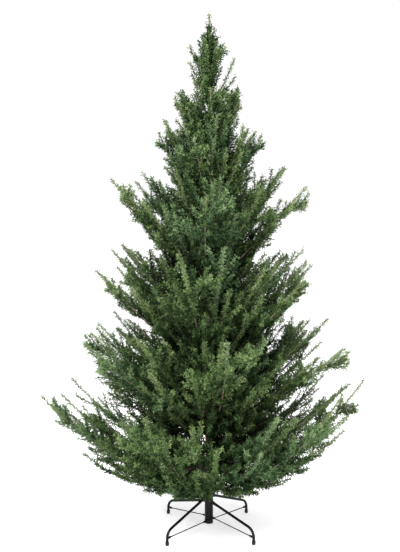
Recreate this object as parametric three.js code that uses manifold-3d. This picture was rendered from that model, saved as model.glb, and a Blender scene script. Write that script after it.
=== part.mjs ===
// An artificial spruce tree with moulded needle sprays, on a folding four-legged metal stand.
// Millimetres, +Z up. The origin is on the floor, under the middle of the pole.
import * as THREE from 'three';
import { mergeVertices } from 'three/addons/utils/BufferGeometryUtils.js';
import Module from 'manifold-3d';

const wasm = await Module();
wasm.setup();

// Driving dimensions of the whole tree
const TREE_HEIGHT = 2286;
const GAP = 0.3;
const FLOOR_OF_CROWN = 215;

// The crown: rings of boughs from the lowest up. foot is the height at the pole, reach and rise
// are how far out and how far up from there the tips are, bend is how late the bough turns up.
// start is the radius at which the foliage begins, and a ring with start has bare boughs up to it.
// twigs is the number of twigs on a stem. steps are the whorls of sprigs along a stem and a twig.
// seed picks the bows, lengths and turns of a ring, and each next bough adds SEED_STEP to it.
const RINGS = [
  { name: 'lowest', count: 6, turn: 188, foot: 288, reach: 745, rise: 405, bend: 2.5, start: 125,
    twigs: 5, twigLength: 340, sprigLength: 130, stemSteps: 7, twigSteps: 5, seed: 1134 },
  { name: 'lower', count: 6, turn: 162, foot: 480, reach: 620, rise: 440, bend: 1.4, start: 90,
    twigs: 4, twigLength: 300, sprigLength: 130, stemSteps: 6, twigSteps: 5, seed: 2114 },
  { name: 'waist', count: 6, turn: 199, foot: 760, reach: 510, rise: 430, bend: 1.3, start: 0,
    twigs: 4, twigLength: 270, sprigLength: 125, stemSteps: 6, twigSteps: 4, seed: 3045 },
  { name: 'middle', count: 5, turn: 190, foot: 1110, reach: 440, rise: 440, bend: 1.1, start: 0,
    twigs: 4, twigLength: 260, sprigLength: 120, stemSteps: 6, twigSteps: 4, seed: 4227 },
  { name: 'upper', count: 4, turn: 168, foot: 1420, reach: 245, rise: 345, bend: 1.15, start: 0,
    twigs: 4, twigLength: 210, sprigLength: 100, stemSteps: 6, twigSteps: 3, seed: 5133 },
  { name: 'neck', count: 3, turn: 150, foot: 1650, reach: 158, rise: 310, bend: 1.1, start: 0,
    twigs: 4, twigLength: 165, sprigLength: 85, stemSteps: 5, twigSteps: 3, seed: 6162 },
];
const LEADER = { name: 'leader', count: 1, foot: 1860, reach: 118, rise: 215, bend: 1,
  twigs: 9, twigLength: 175, sprigLength: 80, stemSteps: 8, twigSteps: 3, seed: 9001 };
const SEED_STEP = 37;
const LOWEST_DROOP = 95;

// Stems, twigs and sprigs. A sprig is as thick as its needles reach, and stands on one side of the core.
const BOUGH_RADIUS = 12.5;
const STEM_RADIUS = 11.5;
const TWIG_RADIUS = 10.5;
const TIP_NARROWING = 0.45;
const CORE_SIDES = 3;
const BOUGH_SIDES = 6;
const BOUGH_STEPS = 3;
const SPRIG_LEAN = 46;
const SPRIG_TWIST = 29;
const SPRIG_SHARES = { first: 0.18, last: 0.86, shortest: 0.75, longest: 1.1 };
const SPACE_MARGIN = 4;
const POLE_CLEARANCE = 12;
const SHRINKING = [1, 0.8, 0.62, 0.45];
// How a bough differs from its ring's surface, as shares of its reach and of its rise
const BOW = 0.14;
const HEAVE = 0.14;
// Where twigs leave a stem, in shares of its length and in degrees, and how much shorter the last one is
const RING_TWIGS = { first: 0.08, last: 0.76 };
const LEADER_TWIGS = { first: 0.04, last: 0.72 };
const TWIG_ANGLE = { least: 38, most: 52 };
const TWIG_TURN_SPREAD = 24;
const TWIG_LENGTH_SPREAD = 0.08;
const TWIG_SHORTENING = 0.5;
const GOLDEN_ANGLE = 137.5;

// The pole: three tubes of falling width, with a hinge collar for each ring of boughs
const POLE_FOOT = 31.3;
const POLE_WALL = 1.5;
const POLE_SECTIONS = [
  { top: 905, radius: 15.2 },
  { top: 1545, radius: 13.2 },
  { top: 1858, radius: 11 },
];
const COLLAR_RADIUS = 23;
const COLLAR_HEIGHT = 18;
const POLE_CAP = 4;
const POLE_SWAGE = 3;
const POLE_SIDES = 12;

// The stand
const STAND_TURN = 1.5;
const FOOT_CIRCLE = 262;
const SOCKET = { radius: 17, wall: 1.5, bottom: 31.3, top: 205 };
const RING_RADIUS = 19.15;
const RING_BORE = 17.35;
const LOWER_SEAM = 46;
const UPPER_SEAM = 138;
const TOP_COLLAR_END = 175;
const CUP = { bottom: 27, floor: 31 };
const LEG_RADIUS = 5.9;
const LEG_BEND = 42;
const LEG_SHOULDER = { x: 229, y: 71 };
const HINGE_REACH = 27;
// Hinges: the eye's radius, the thickness of its plate and of each ear, the pin's radius and how far
// it stands proud, the plate's tang, and where on the tang the round rod begins
const LEG_HINGE = { eye: 8, plate: 5, ear: 2.4, pin: 2.5, proud: 1.2, tang: 22, rod: 12 };
const STAY_HINGE = { eye: 5, plate: 3, ear: 1.8, pin: 1.5, proud: 1.2, tang: 14, rod: 8 };
const HOLE_SIDES = 6;
const EYE_SIDES = 4;
const ROD_SIDES = 8;
const BEND_STEPS = 3;
const SUNK = 1.5;
const STAY_RADIUS = 2.3;
const STAY_SIDES = 6;
const STAY_END = { x: 247, y: 32 };
const FOOT = { radius: 7.8, bore: 6.45, height: 17, floor: 3 };
// Legs in turn, with the height of the leg's hinge and of the stay's hinge on the middle tube
const LEGS = [
  { name: 'front_left', azimuth: 225, hinge: 146.5, stay: 38, onTop: true },
  { name: 'front_right', azimuth: 315, hinge: 123.5, stay: 55, onTop: false },
  { name: 'back_right', azimuth: 45, hinge: 146.5, stay: 38, onTop: true },
  { name: 'back_left', azimuth: 135, hinge: 123.5, stay: 55, onTop: false },
];

const UP = new THREE.Vector3(0, 0, 1);

function radians(degrees) {
  return THREE.MathUtils.degToRad(degrees);
}

// A small repeatable random number maker, so that the same seed grows the same bough
function randomFrom(seed) {
  let state = seed >>> 0;
  return function next(low, high) {
    state = (Math.imul(state, 1664525) + 1013904223) >>> 0;
    return low + (high - low) * (state / 4294967296);
  };
}

// Solids from geometries and back

function solidOf(geometry) {
  const bare = (geometry.index ? geometry.toNonIndexed() : geometry.clone());
  bare.deleteAttribute('normal');
  bare.deleteAttribute('uv');
  const merged = mergeVertices(bare, 1e-3);
  const corners = Array.from(merged.index.array);
  const kept = [];
  for (let i = 0; i < corners.length; i += 3) {
    const [a, b, c] = corners.slice(i, i + 3);
    if (a !== b && b !== c && c !== a) kept.push(a, b, c);
  }
  return new wasm.Manifold(new wasm.Mesh({
    numProp: 3,
    vertProperties: Float32Array.from(merged.attributes.position.array),
    triVerts: Uint32Array.from(kept),
  }));
}

function geometryOf(solid) {
  const mesh = solid.getMesh();
  const geometry = new THREE.BufferGeometry();
  geometry.setAttribute('position', new THREE.BufferAttribute(Float32Array.from(mesh.vertProperties), 3));
  geometry.setIndex(new THREE.BufferAttribute(Uint32Array.from(mesh.triVerts), 1));
  geometry.computeVertexNormals();
  return geometry;
}

function joined(solids) {
  return solids.reduce((whole, solid) => whole.add(solid));
}

// The largest shell of a solid, without hollows that joining sealed and without loose scraps
function largestShell(solid) {
  return solid.decompose().reduce((best, shell) => (shell.volume() > best.volume() ? shell : best));
}

// A round piece from a profile of [radius, height] pairs, turned about the upright axis
function turned(profile, sides) {
  const points = profile.map(([radius, height]) => new THREE.Vector2(radius, height));
  return new THREE.LatheGeometry(points, sides).rotateX(Math.PI / 2);
}

function ring(inner, outer, bottom, top, sides) {
  return turned([[inner, bottom], [outer, bottom], [outer, top], [inner, top], [inner, bottom]], sides);
}

// A limb is a cylinder bent along a list of stations, each with a point, a direction and a radius
function limb(stations, sides) {
  const steps = stations.length - 1;
  const geometry = new THREE.CylinderGeometry(1, 1, steps, sides, steps);
  const position = geometry.attributes.position;
  const point = new THREE.Vector3();
  for (let i = 0; i < position.count; i += 1) {
    const station = stations[Math.round(position.getY(i) + steps / 2)];
    const across = new THREE.Vector3().crossVectors(station.along, station.side).normalize();
    point.copy(station.point)
      .addScaledVector(station.side, position.getZ(i) * station.radius)
      .addScaledVector(across, position.getX(i) * station.radius);
    position.setXYZ(i, point.x, point.y, point.z);
  }
  return geometry;
}

function sideOf(along) {
  const side = new THREE.Vector3().crossVectors(UP, along);
  if (side.length() < 1e-3) side.set(1, 0, 0);
  return side.normalize();
}

// The stations of a straight twig
function straight(start, along, length, radius, steps) {
  const side = sideOf(along);
  const stations = [];
  for (let i = 0; i <= steps; i += 1) {
    const share = i / steps;
    const point = start.clone().addScaledVector(along, length * share);
    stations.push({ point, along, side, radius: radius * (1 - TIP_NARROWING * share) });
  }
  return stations;
}

// A core with a sprig raised on each of its sides at each step: a four-sided spike that leans forward
function sprigged(stations, sprigLength, space, random) {
  const steps = stations.length - 1;
  const sides = CORE_SIDES;
  const positions = [];
  const faces = [];
  const keep = (point) => positions.push(point.x, point.y, point.z) / 3 - 1;
  const firstTurn = random(0, 2 * Math.PI);
  const rings = stations.slice(0, steps).map((station, i) => {
    const upward = new THREE.Vector3().crossVectors(station.along, station.side);
    return Array.from({ length: sides }, (_, k) => {
      const turn = firstTurn + (2 * Math.PI * k) / sides + radians(SPRIG_TWIST * i);
      return station.point.clone()
        .addScaledVector(station.side, station.radius * Math.cos(turn))
        .addScaledVector(upward, station.radius * Math.sin(turn));
    });
  });
  const numbers = rings.map((points) => points.map(keep));
  const root = keep(stations[0].point);
  const tip = keep(stations[steps].point);
  for (let k = 0; k < sides; k += 1) {
    const next = (k + 1) % sides;
    faces.push(root, numbers[0][next], numbers[0][k]);
    faces.push(numbers[steps - 1][k], numbers[steps - 1][next], tip);
    for (let i = 0; i < steps - 1; i += 1) {
      const corners = [numbers[i][k], numbers[i][next], numbers[i + 1][next], numbers[i + 1][k]];
      const points = [rings[i][k], rings[i][next], rings[i + 1][next], rings[i + 1][k]];
      const middle = points.reduce((sum, point) => sum.add(point), new THREE.Vector3()).multiplyScalar(0.25);
      const share = (i + 0.5) / steps;
      const axis = stations[i].point.clone().lerp(stations[i + 1].point, 0.5);
      const outwards = middle.clone().sub(axis).normalize();
      const along = outwards.multiplyScalar(Math.sin(radians(SPRIG_LEAN)))
        .addScaledVector(stations[i].along, Math.cos(radians(SPRIG_LEAN)));
      const wanted = sprigLength * (1 - 0.5 * share) * random(SPRIG_SHARES.shortest, SPRIG_SHARES.longest);
      const bare = share < SPRIG_SHARES.first || share > SPRIG_SHARES.last;
      const length = bare ? 0 : fittingLength(space, middle, along, wanted);
      if (length > 0) {
        const point = keep(middle.addScaledVector(along, length));
        corners.forEach((corner, c) => faces.push(corner, corners[(c + 1) % 4], point));
      } else {
        faces.push(corners[0], corners[1], corners[2], corners[0], corners[2], corners[3]);
      }
    }
  }
  const geometry = new THREE.BufferGeometry();
  geometry.setAttribute('position', new THREE.Float32BufferAttribute(positions, 3));
  geometry.setIndex(faces);
  return solidOf(geometry);
}

// Rings of boughs: the surface that a ring's boughs follow, and the space between two such surfaces

function heightOn(ringOfBoughs, radius) {
  const share = Math.max(0, radius - COLLAR_RADIUS) / (ringOfBoughs.reach - COLLAR_RADIUS);
  return ringOfBoughs.foot + ringOfBoughs.rise * share ** ringOfBoughs.bend;
}

// Where a limb's flat first face meets the collar, whose sides are flats between evenly spaced corners
function collarFace(azimuth) {
  const step = (2 * Math.PI) / POLE_SIDES;
  const offCorner = THREE.MathUtils.euclideanModulo(azimuth + step / 2, step) - step / 2;
  return COLLAR_RADIUS * Math.cos(offCorner) + GAP;
}

const LEVELS = [...RINGS, LEADER];

function floorAt(level, radius) {
  if (level === 0) return Math.max(FLOOR_OF_CROWN, heightOn(RINGS[0], radius) - LOWEST_DROOP);
  return (heightOn(LEVELS[level - 1], radius) + heightOn(LEVELS[level], radius)) / 2;
}

function ceilingAt(level, radius) {
  if (level === LEVELS.length - 1) return TREE_HEIGHT + SPACE_MARGIN;
  return floorAt(level + 1, radius);
}

function insideSpace(space, point) {
  const radius = Math.hypot(point.x, point.y);
  if (radius > space.reach) return false;
  if (radius < space.innerRadius) return false;
  if (point.z < floorAt(space.level, radius) + SPACE_MARGIN) return false;
  if (point.z > ceilingAt(space.level, radius) - SPACE_MARGIN) return false;
  if (space.halfAngle >= Math.PI) return true;
  let turn = Math.atan2(point.y, point.x) - space.azimuth;
  turn = Math.abs(THREE.MathUtils.euclideanModulo(turn + Math.PI, 2 * Math.PI) - Math.PI);
  return turn < space.halfAngle && radius * Math.sin(space.halfAngle - turn) > SPACE_MARGIN;
}

// A twig or sprig that would leave the mass's own space is tried shorter, and then left out
function fittingLength(space, start, along, length) {
  for (const share of SHRINKING) {
    const pointAt = (part) => start.clone().addScaledVector(along, length * share * part);
    if ([0.5, 0.75, 1].every((part) => insideSpace(space, pointAt(part)))) return length * share;
  }
  return 0;
}

// Each bough bows a little sideways and rises a little more or less than its ring's surface
function boughShape(kind, random) {
  return { ...kind, bow: random(-BOW, BOW) * kind.reach, rise: kind.rise * (1 + random(-HEAVE, HEAVE)) };
}

function boughPoint(shape, azimuth, radius) {
  const sideways = shape.bow * (radius / shape.reach) ** 2;
  return new THREE.Vector3(
    radius * Math.cos(azimuth) - sideways * Math.sin(azimuth),
    radius * Math.sin(azimuth) + sideways * Math.cos(azimuth),
    heightOn(shape, radius),
  );
}

// Stations along a bough. Its first face, at the pole's collar, is upright.
function boughStations(shape, azimuth, from, to, steps) {
  const stations = [];
  for (let i = 0; i <= steps; i += 1) {
    const radius = THREE.MathUtils.lerp(from.radius, to.radius, i / steps);
    const point = boughPoint(shape, azimuth, radius);
    const along = boughPoint(shape, azimuth, radius + 1).sub(point).normalize();
    if (radius < COLLAR_RADIUS + 2 * GAP) along.setZ(0).normalize();
    const thickness = THREE.MathUtils.lerp(from.thickness, to.thickness, i / steps);
    stations.push({ point, along, side: sideOf(along), radius: thickness });
  }
  return stations;
}

// The bare first part of a bough, from the pole's collar to where its foliage begins
function boughGeometry(kind, azimuth, seed) {
  const shape = boughShape(kind, randomFrom(seed));
  const from = { radius: collarFace(azimuth), thickness: BOUGH_RADIUS };
  const to = { radius: kind.start, thickness: STEM_RADIUS };
  const stations = boughStations(shape, azimuth, from, to, BOUGH_STEPS);
  return geometryOf(solidOf(limb(stations, BOUGH_SIDES)));
}

// A direction that leaves the limb at an angle, turned about the limb from its left side
function branching(station, angle, around) {
  const upward = new THREE.Vector3().crossVectors(station.along, station.side);
  return station.along.clone().multiplyScalar(Math.cos(angle))
    .addScaledVector(station.side, Math.sin(angle) * Math.cos(around))
    .addScaledVector(upward, Math.sin(angle) * Math.sin(around))
    .normalize();
}

function between(stations, share) {
  const place = share * (stations.length - 1);
  const low = Math.min(Math.floor(place), stations.length - 2);
  const rest = place - low;
  const [a, b] = [stations[low], stations[low + 1]];
  const along = a.along.clone().lerp(b.along, rest).normalize();
  return {
    point: a.point.clone().lerp(b.point, rest),
    along,
    side: sideOf(along),
    radius: a.radius + (b.radius - a.radius) * rest,
  };
}

// Twigs leave a stem to its left and right in turn, or all round it, and grow shorter to its tip
function withTwigs(stem, shares, space, kind, around, random) {
  let mass = sprigged(stem, kind.sprigLength, space, random);
  for (let i = 0; i < kind.twigs; i += 1) {
    const part = i / (kind.twigs - 1);
    const place = between(stem, shares.first + (shares.last - shares.first) * part);
    const angle = random(TWIG_ANGLE.least, TWIG_ANGLE.most);
    const turn = around(i) + random(-TWIG_TURN_SPREAD, TWIG_TURN_SPREAD);
    const along = branching(place, radians(angle), radians(turn));
    const spread = random(1 - TWIG_LENGTH_SPREAD, 1 + TWIG_LENGTH_SPREAD);
    const wanted = kind.twigLength * (1 - TWIG_SHORTENING * part) * spread;
    const length = fittingLength(space, place.point, along, wanted);
    if (length > 0) {
      const twig = straight(place.point, along, length, TWIG_RADIUS, kind.twigSteps);
      mass = mass.add(sprigged(twig, kind.sprigLength * length / wanted, space, random));
    }
  }
  return largestShell(mass);
}

// One mass of foliage: a stem that follows its ring's curve to the tip, with its twigs and sprigs
function growMass(level, azimuth, seed) {
  const kind = RINGS[level];
  const random = randomFrom(seed);
  const shape = boughShape(kind, random);
  const space = {
    level,
    azimuth,
    halfAngle: Math.PI / kind.count,
    reach: kind.reach,
    innerRadius: COLLAR_RADIUS + POLE_CLEARANCE,
  };
  const startRadius = kind.start > 0 ? kind.start + GAP : collarFace(azimuth);
  const from = { radius: startRadius, thickness: STEM_RADIUS };
  const to = { radius: kind.reach - 1, thickness: STEM_RADIUS / 2 };
  const stem = boughStations(shape, azimuth, from, to, kind.stemSteps);
  const upThenSideways = (i) => (i === 0 ? 90 : 180 * ((i + 1) % 2));
  return withTwigs(stem, RING_TWIGS, space, kind, upThenSideways, random);
}

// The leader stands on the pole, with twigs all round that grow shorter to the top
function growLeader() {
  const random = randomFrom(LEADER.seed);
  const space = { level: RINGS.length, azimuth: 0, halfAngle: Math.PI, reach: LEADER.reach, innerRadius: 0 };
  const foot = POLE_SECTIONS[POLE_SECTIONS.length - 1].top + GAP;
  const root = new THREE.Vector3(0, 0, foot);
  const stem = straight(root, UP, TREE_HEIGHT - foot, STEM_RADIUS, LEADER.stemSteps);
  return withTwigs(stem, LEADER_TWIGS, space, LEADER, (i) => i * GOLDEN_ANGLE, random);
}

// The pole, turned in one piece from its open foot to its closed top
function poleGeometry() {
  const last = POLE_SECTIONS[POLE_SECTIONS.length - 1];
  const profile = [[0, last.top - POLE_CAP], [last.radius - POLE_WALL, last.top - POLE_CAP]];
  for (let i = POLE_SECTIONS.length - 1; i > 0; i -= 1) {
    const seam = POLE_SECTIONS[i - 1].top;
    profile.push([POLE_SECTIONS[i].radius - POLE_WALL, seam]);
    profile.push([POLE_SECTIONS[i - 1].radius - POLE_WALL, seam - POLE_SWAGE]);
  }
  profile.push([POLE_SECTIONS[0].radius - POLE_WALL, POLE_FOOT], [POLE_SECTIONS[0].radius, POLE_FOOT]);
  const radiusAt = (height) => POLE_SECTIONS.find((section) => height < section.top).radius;
  const marks = [];
  for (const ringOfBoughs of RINGS) {
    const low = ringOfBoughs.foot - COLLAR_HEIGHT / 2;
    const high = ringOfBoughs.foot + COLLAR_HEIGHT / 2;
    marks.push([radiusAt(low), low], [COLLAR_RADIUS, low], [COLLAR_RADIUS, high], [radiusAt(high), high]);
  }
  POLE_SECTIONS.forEach((section, i) => {
    const next = POLE_SECTIONS[i + 1];
    marks.push([section.radius, section.top], [next ? next.radius : 0, section.top]);
  });
  marks.map((mark, order) => ({ mark, order }))
    .sort((a, b) => a.mark[1] - b.mark[1] || a.order - b.order)
    .forEach(({ mark }) => profile.push(mark));
  return turned(profile, POLE_SIDES);
}

// Stand pieces are drawn in an upright plane: x outwards from the pole, y up, then turned to their azimuth

function toAzimuth(azimuth) {
  const outwards = new THREE.Vector3(Math.cos(azimuth), Math.sin(azimuth), 0);
  const across = new THREE.Vector3().crossVectors(outwards, UP);
  return new THREE.Matrix4().makeBasis(outwards, UP, across);
}

function plate(outline, thickness, hole) {
  const shape = new THREE.Shape(outline.map(([x, y]) => new THREE.Vector2(x, y)));
  if (hole) {
    const rim = new THREE.Path();
    rim.absarc(hole.x, hole.y, hole.radius, 0, 2 * Math.PI, true);
    shape.holes.push(rim);
  }
  const settings = { depth: thickness, bevelEnabled: false, curveSegments: HOLE_SIDES / 2 };
  return new THREE.ExtrudeGeometry(shape, settings).translate(0, 0, -thickness / 2);
}

// The flattened end of a rod: a round eye about the pin, drawn out along the rod
function eyeEnd(hinge, pin, out) {
  const outline = [];
  const heading = Math.atan2(out.y, out.x);
  for (let i = 0; i <= EYE_SIDES; i += 1) {
    const angle = heading + Math.PI / 2 + (Math.PI * i) / EYE_SIDES;
    outline.push([pin.x + hinge.eye * Math.cos(angle), pin.y + hinge.eye * Math.sin(angle)]);
  }
  const end = { x: pin.x + out.x * hinge.tang, y: pin.y + out.y * hinge.tang };
  const half = hinge.eye / 2;
  outline.push([end.x + out.y * half, end.y - out.x * half]);
  outline.push([end.x - out.y * half, end.y + out.x * half]);
  const hole = (hinge.pin + GAP) / Math.cos(Math.PI / HOLE_SIDES);
  return plate(outline, hinge.plate, { x: pin.x, y: pin.y, radius: hole });
}

// Two ears and the pin through them, from a root to the pin's place
function ears(hinge, root, pin) {
  const rootHalf = hinge.eye * 0.9;
  const endHalf = hinge.eye * 0.6;
  const end = pin.x + Math.sign(pin.x - root) * hinge.eye * 0.8;
  const outline = [[root, pin.y - rootHalf], [end, pin.y - endHalf], [end, pin.y + endHalf],
    [root, pin.y + rootHalf]];
  if (end < root) outline.reverse();
  const offset = hinge.plate / 2 + GAP + hinge.ear / 2;
  const length = 2 * offset + hinge.ear + 2 * hinge.proud;
  const rivet = new THREE.CylinderGeometry(hinge.pin, hinge.pin, length, HOLE_SIDES).rotateX(Math.PI / 2);
  return [
    plate(outline, hinge.ear).translate(0, 0, offset),
    plate(outline, hinge.ear).translate(0, 0, -offset),
    rivet.translate(pin.x, pin.y, 0),
  ];
}

function towards(from, to) {
  const length = Math.hypot(to.x - from.x, to.y - from.y);
  return { x: (to.x - from.x) / length, y: (to.y - from.y) / length };
}

// A leg: a straight run down from its hinge, a round bend, and an upright end in its foot
function legGeometry(leg, matrix) {
  const pin = { x: HINGE_REACH, y: leg.hinge };
  const down = towards(pin, LEG_SHOULDER);
  const slope = Math.atan2(-down.y, down.x);
  const turn = Math.PI / 2 - slope;
  const corner = { x: FOOT_CIRCLE, y: pin.y - (FOOT_CIRCLE - pin.x) * Math.tan(slope) };
  const run = LEG_BEND * Math.tan(turn / 2);
  const centre = { x: FOOT_CIRCLE - LEG_BEND, y: corner.y - run };
  const side = new THREE.Vector3(0, 0, 1);
  const station = (x, y, heading) => ({
    point: new THREE.Vector3(x, y, 0),
    along: new THREE.Vector3(Math.cos(heading), Math.sin(heading), 0),
    side,
    radius: LEG_RADIUS,
  });
  const stations = [station(pin.x + down.x * LEG_HINGE.rod, pin.y + down.y * LEG_HINGE.rod, -slope)];
  for (let i = 0; i <= BEND_STEPS; i += 1) {
    const angle = Math.PI / 2 - slope - (turn * i) / BEND_STEPS;
    const x = centre.x + LEG_BEND * Math.cos(angle);
    const y = centre.y + LEG_BEND * Math.sin(angle);
    stations.push(station(x, y, angle - Math.PI / 2));
  }
  stations.push(station(FOOT_CIRCLE, FOOT.floor + GAP, -Math.PI / 2));
  const pieces = [
    limb(stations, ROD_SIDES),
    eyeEnd(LEG_HINGE, pin, down),
    ...ears(STAY_HINGE, FOOT_CIRCLE - LEG_RADIUS + SUNK, STAY_END),
  ];
  return geometryOf(joined(pieces.map(solidOf))).applyMatrix4(matrix);
}

// A stay: a thin rod with an eye at each end
function stayGeometry(leg, matrix) {
  const inner = { x: HINGE_REACH, y: leg.stay };
  const out = towards(inner, STAY_END);
  const back = towards(STAY_END, inner);
  const along = new THREE.Vector3(out.x, out.y, 0);
  const side = new THREE.Vector3(0, 0, 1);
  const stations = [[inner, STAY_HINGE.rod], [STAY_END, -STAY_HINGE.rod]].map(([end, inwards]) => ({
    point: new THREE.Vector3(end.x, end.y, 0).addScaledVector(along, inwards),
    along,
    side,
    radius: STAY_RADIUS,
  }));
  const eyes = [eyeEnd(STAY_HINGE, inner, out), eyeEnd(STAY_HINGE, STAY_END, back)];
  const pieces = [limb(stations, STAY_SIDES), ...eyes];
  return geometryOf(joined(pieces.map(solidOf))).applyMatrix4(matrix);
}

// A piece of the middle tube with the ears that it carries, bored out for the socket above the cup's floor
function ringWithEars(bottom, top, hinges) {
  const outside = turned([[0, bottom], [RING_RADIUS, bottom], [RING_RADIUS, top], [0, top]], POLE_SIDES);
  const bore = turned([[0, CUP.floor], [RING_BORE, CUP.floor], [RING_BORE, SOCKET.top], [0, SOCKET.top]],
    POLE_SIDES);
  const solids = [solidOf(outside)];
  for (const { leg, hinge, height } of hinges) {
    const matrix = toAzimuth(radians(leg.azimuth + STAND_TURN));
    for (const piece of ears(hinge, RING_RADIUS - SUNK, { x: HINGE_REACH, y: height })) {
      solids.push(solidOf(piece.applyMatrix4(matrix)));
    }
  }
  return geometryOf(joined(solids).subtract(solidOf(bore)));
}

// Materials

function material(color, roughness, metalness) {
  return new THREE.MeshStandardMaterial({ color, roughness, metalness });
}

const FINISHES = {
  stand: () => material(0x17181a, 0.42, 0.3),
  rubber: () => material(0x0e0e0f, 0.8, 0),
  pole: () => material(0x5a3c2a, 0.7, 0.2),
  bark: () => material(0x5d4c40, 0.85, 0),
  needles: () => material(0x3f5a33, 0.75, 0),
};

const tree = new THREE.Group();

function place(name, geometry, finish) {
  const mesh = new THREE.Mesh(geometry, FINISHES[finish]());
  mesh.name = name;
  tree.add(mesh);
}

function buildStand() {
  const topLegs = LEGS.filter((leg) => leg.onTop);
  const sleeveLegs = LEGS.filter((leg) => !leg.onTop);
  const legHinge = (leg) => ({ leg, hinge: LEG_HINGE, height: leg.hinge });
  const stayHinge = (leg) => ({ leg, hinge: STAY_HINGE, height: leg.stay });
  const sleeveHinges = [...sleeveLegs.map(legHinge), ...sleeveLegs.map(stayHinge)];
  const socket = ring(SOCKET.radius - SOCKET.wall, SOCKET.radius, SOCKET.bottom, SOCKET.top, POLE_SIDES);
  place('stand_socket', socket, 'stand');
  place('stand_bottom_cup', ringWithEars(CUP.bottom, LOWER_SEAM, topLegs.map(stayHinge)), 'stand');
  place('stand_sleeve', ringWithEars(LOWER_SEAM + GAP, UPPER_SEAM, sleeveHinges), 'stand');
  place('stand_top_collar', ringWithEars(UPPER_SEAM + GAP, TOP_COLLAR_END, topLegs.map(legHinge)), 'stand');
  for (const leg of LEGS) {
    const azimuth = radians(leg.azimuth + STAND_TURN);
    place(`stand_leg_${leg.name}`, legGeometry(leg, toAzimuth(azimuth)), 'stand');
    place(`stand_stay_${leg.name}`, stayGeometry(leg, toAzimuth(azimuth)), 'stand');
    const foot = turned([[0, 0], [FOOT.radius, 0], [FOOT.radius, FOOT.height], [FOOT.bore, FOOT.height],
      [FOOT.bore, FOOT.floor], [0, FOOT.floor]], POLE_SIDES);
    foot.translate(FOOT_CIRCLE * Math.cos(azimuth), FOOT_CIRCLE * Math.sin(azimuth), 0);
    place(`stand_foot_${leg.name}`, foot, 'rubber');
  }
}

function buildCrown() {
  place('pole', poleGeometry(), 'pole');
  RINGS.forEach((ringOfBoughs, level) => {
    for (let i = 0; i < ringOfBoughs.count; i += 1) {
      const azimuth = radians(ringOfBoughs.turn + (360 * i) / ringOfBoughs.count);
      const seed = ringOfBoughs.seed + SEED_STEP * i;
      if (ringOfBoughs.start > 0) {
        const bough = boughGeometry(ringOfBoughs, azimuth, seed);
        place(`bough_${ringOfBoughs.name}_${i + 1}`, bough, 'bark');
      }
      const mass = growMass(level, azimuth, seed);
      place(`foliage_${ringOfBoughs.name}_${i + 1}`, geometryOf(mass), 'needles');
    }
  });
  place('foliage_leader', geometryOf(growLeader()), 'needles');
}

buildStand();
buildCrown();

export default tree;
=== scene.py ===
"""The looks of an artificial spruce on a folding stand: needles, twigs, wired boughs, pole and stand."""

import math
from collections import namedtuple

import bpy
from mathutils import Matrix, Vector


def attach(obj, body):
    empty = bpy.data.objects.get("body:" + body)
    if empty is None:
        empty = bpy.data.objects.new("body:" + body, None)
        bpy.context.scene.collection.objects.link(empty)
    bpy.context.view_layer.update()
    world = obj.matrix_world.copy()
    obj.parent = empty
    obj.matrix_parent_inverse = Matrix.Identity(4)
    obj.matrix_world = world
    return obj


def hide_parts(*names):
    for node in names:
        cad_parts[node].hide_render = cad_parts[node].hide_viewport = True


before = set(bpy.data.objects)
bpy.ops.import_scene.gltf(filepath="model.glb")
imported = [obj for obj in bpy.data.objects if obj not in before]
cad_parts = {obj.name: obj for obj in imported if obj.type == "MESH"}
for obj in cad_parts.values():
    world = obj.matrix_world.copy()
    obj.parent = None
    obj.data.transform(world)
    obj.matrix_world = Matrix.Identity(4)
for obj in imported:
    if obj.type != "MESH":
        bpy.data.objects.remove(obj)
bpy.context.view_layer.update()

UP = Vector((0, 0, 1))

# The camera, fitted to the photograph
CAMERA_PLACE = (-0.040, -3.413, 1.364)
CAMERA_PITCH_DOWN = 3.72
CAMERA_LENS = 50.43

# The crown, in metres. foot is a ring's height at the pole, reach and rise are how far out and up its tips
# are, bend is how late its boughs turn up, and start is where the foliage begins on the two lowest rings.
Ring = namedtuple("Ring", "name count turn foot reach rise bend start twigs twig_length sprig_length "
                          "stem_steps twig_steps seed")
RINGS = [
    Ring("lowest", 6, 188, 0.288, 0.745, 0.405, 2.5, 0.125, 5, 0.340, 0.130, 7, 5, 1134),
    Ring("lower", 6, 162, 0.480, 0.620, 0.440, 1.4, 0.090, 4, 0.300, 0.130, 6, 5, 2114),
    Ring("waist", 6, 199, 0.760, 0.510, 0.430, 1.3, 0.0, 4, 0.270, 0.125, 6, 4, 3045),
    Ring("middle", 5, 190, 1.110, 0.440, 0.440, 1.1, 0.0, 4, 0.260, 0.120, 6, 4, 4227),
    Ring("upper", 4, 168, 1.420, 0.245, 0.345, 1.15, 0.0, 4, 0.210, 0.100, 6, 3, 5133),
    Ring("neck", 3, 150, 1.650, 0.158, 0.310, 1.1, 0.0, 4, 0.165, 0.085, 5, 3, 6162),
]
LEADER = Ring("leader", 1, 0, 1.860, 0.118, 0.215, 1.0, 0.0, 9, 0.175, 0.080, 8, 3, 9001)
LEVELS = [*RINGS, LEADER]
SEED_STEP = 37
TREE_HEIGHT = 2.286
FLOOR_OF_CROWN = 0.215
LOWEST_DROOP = 0.095

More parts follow.
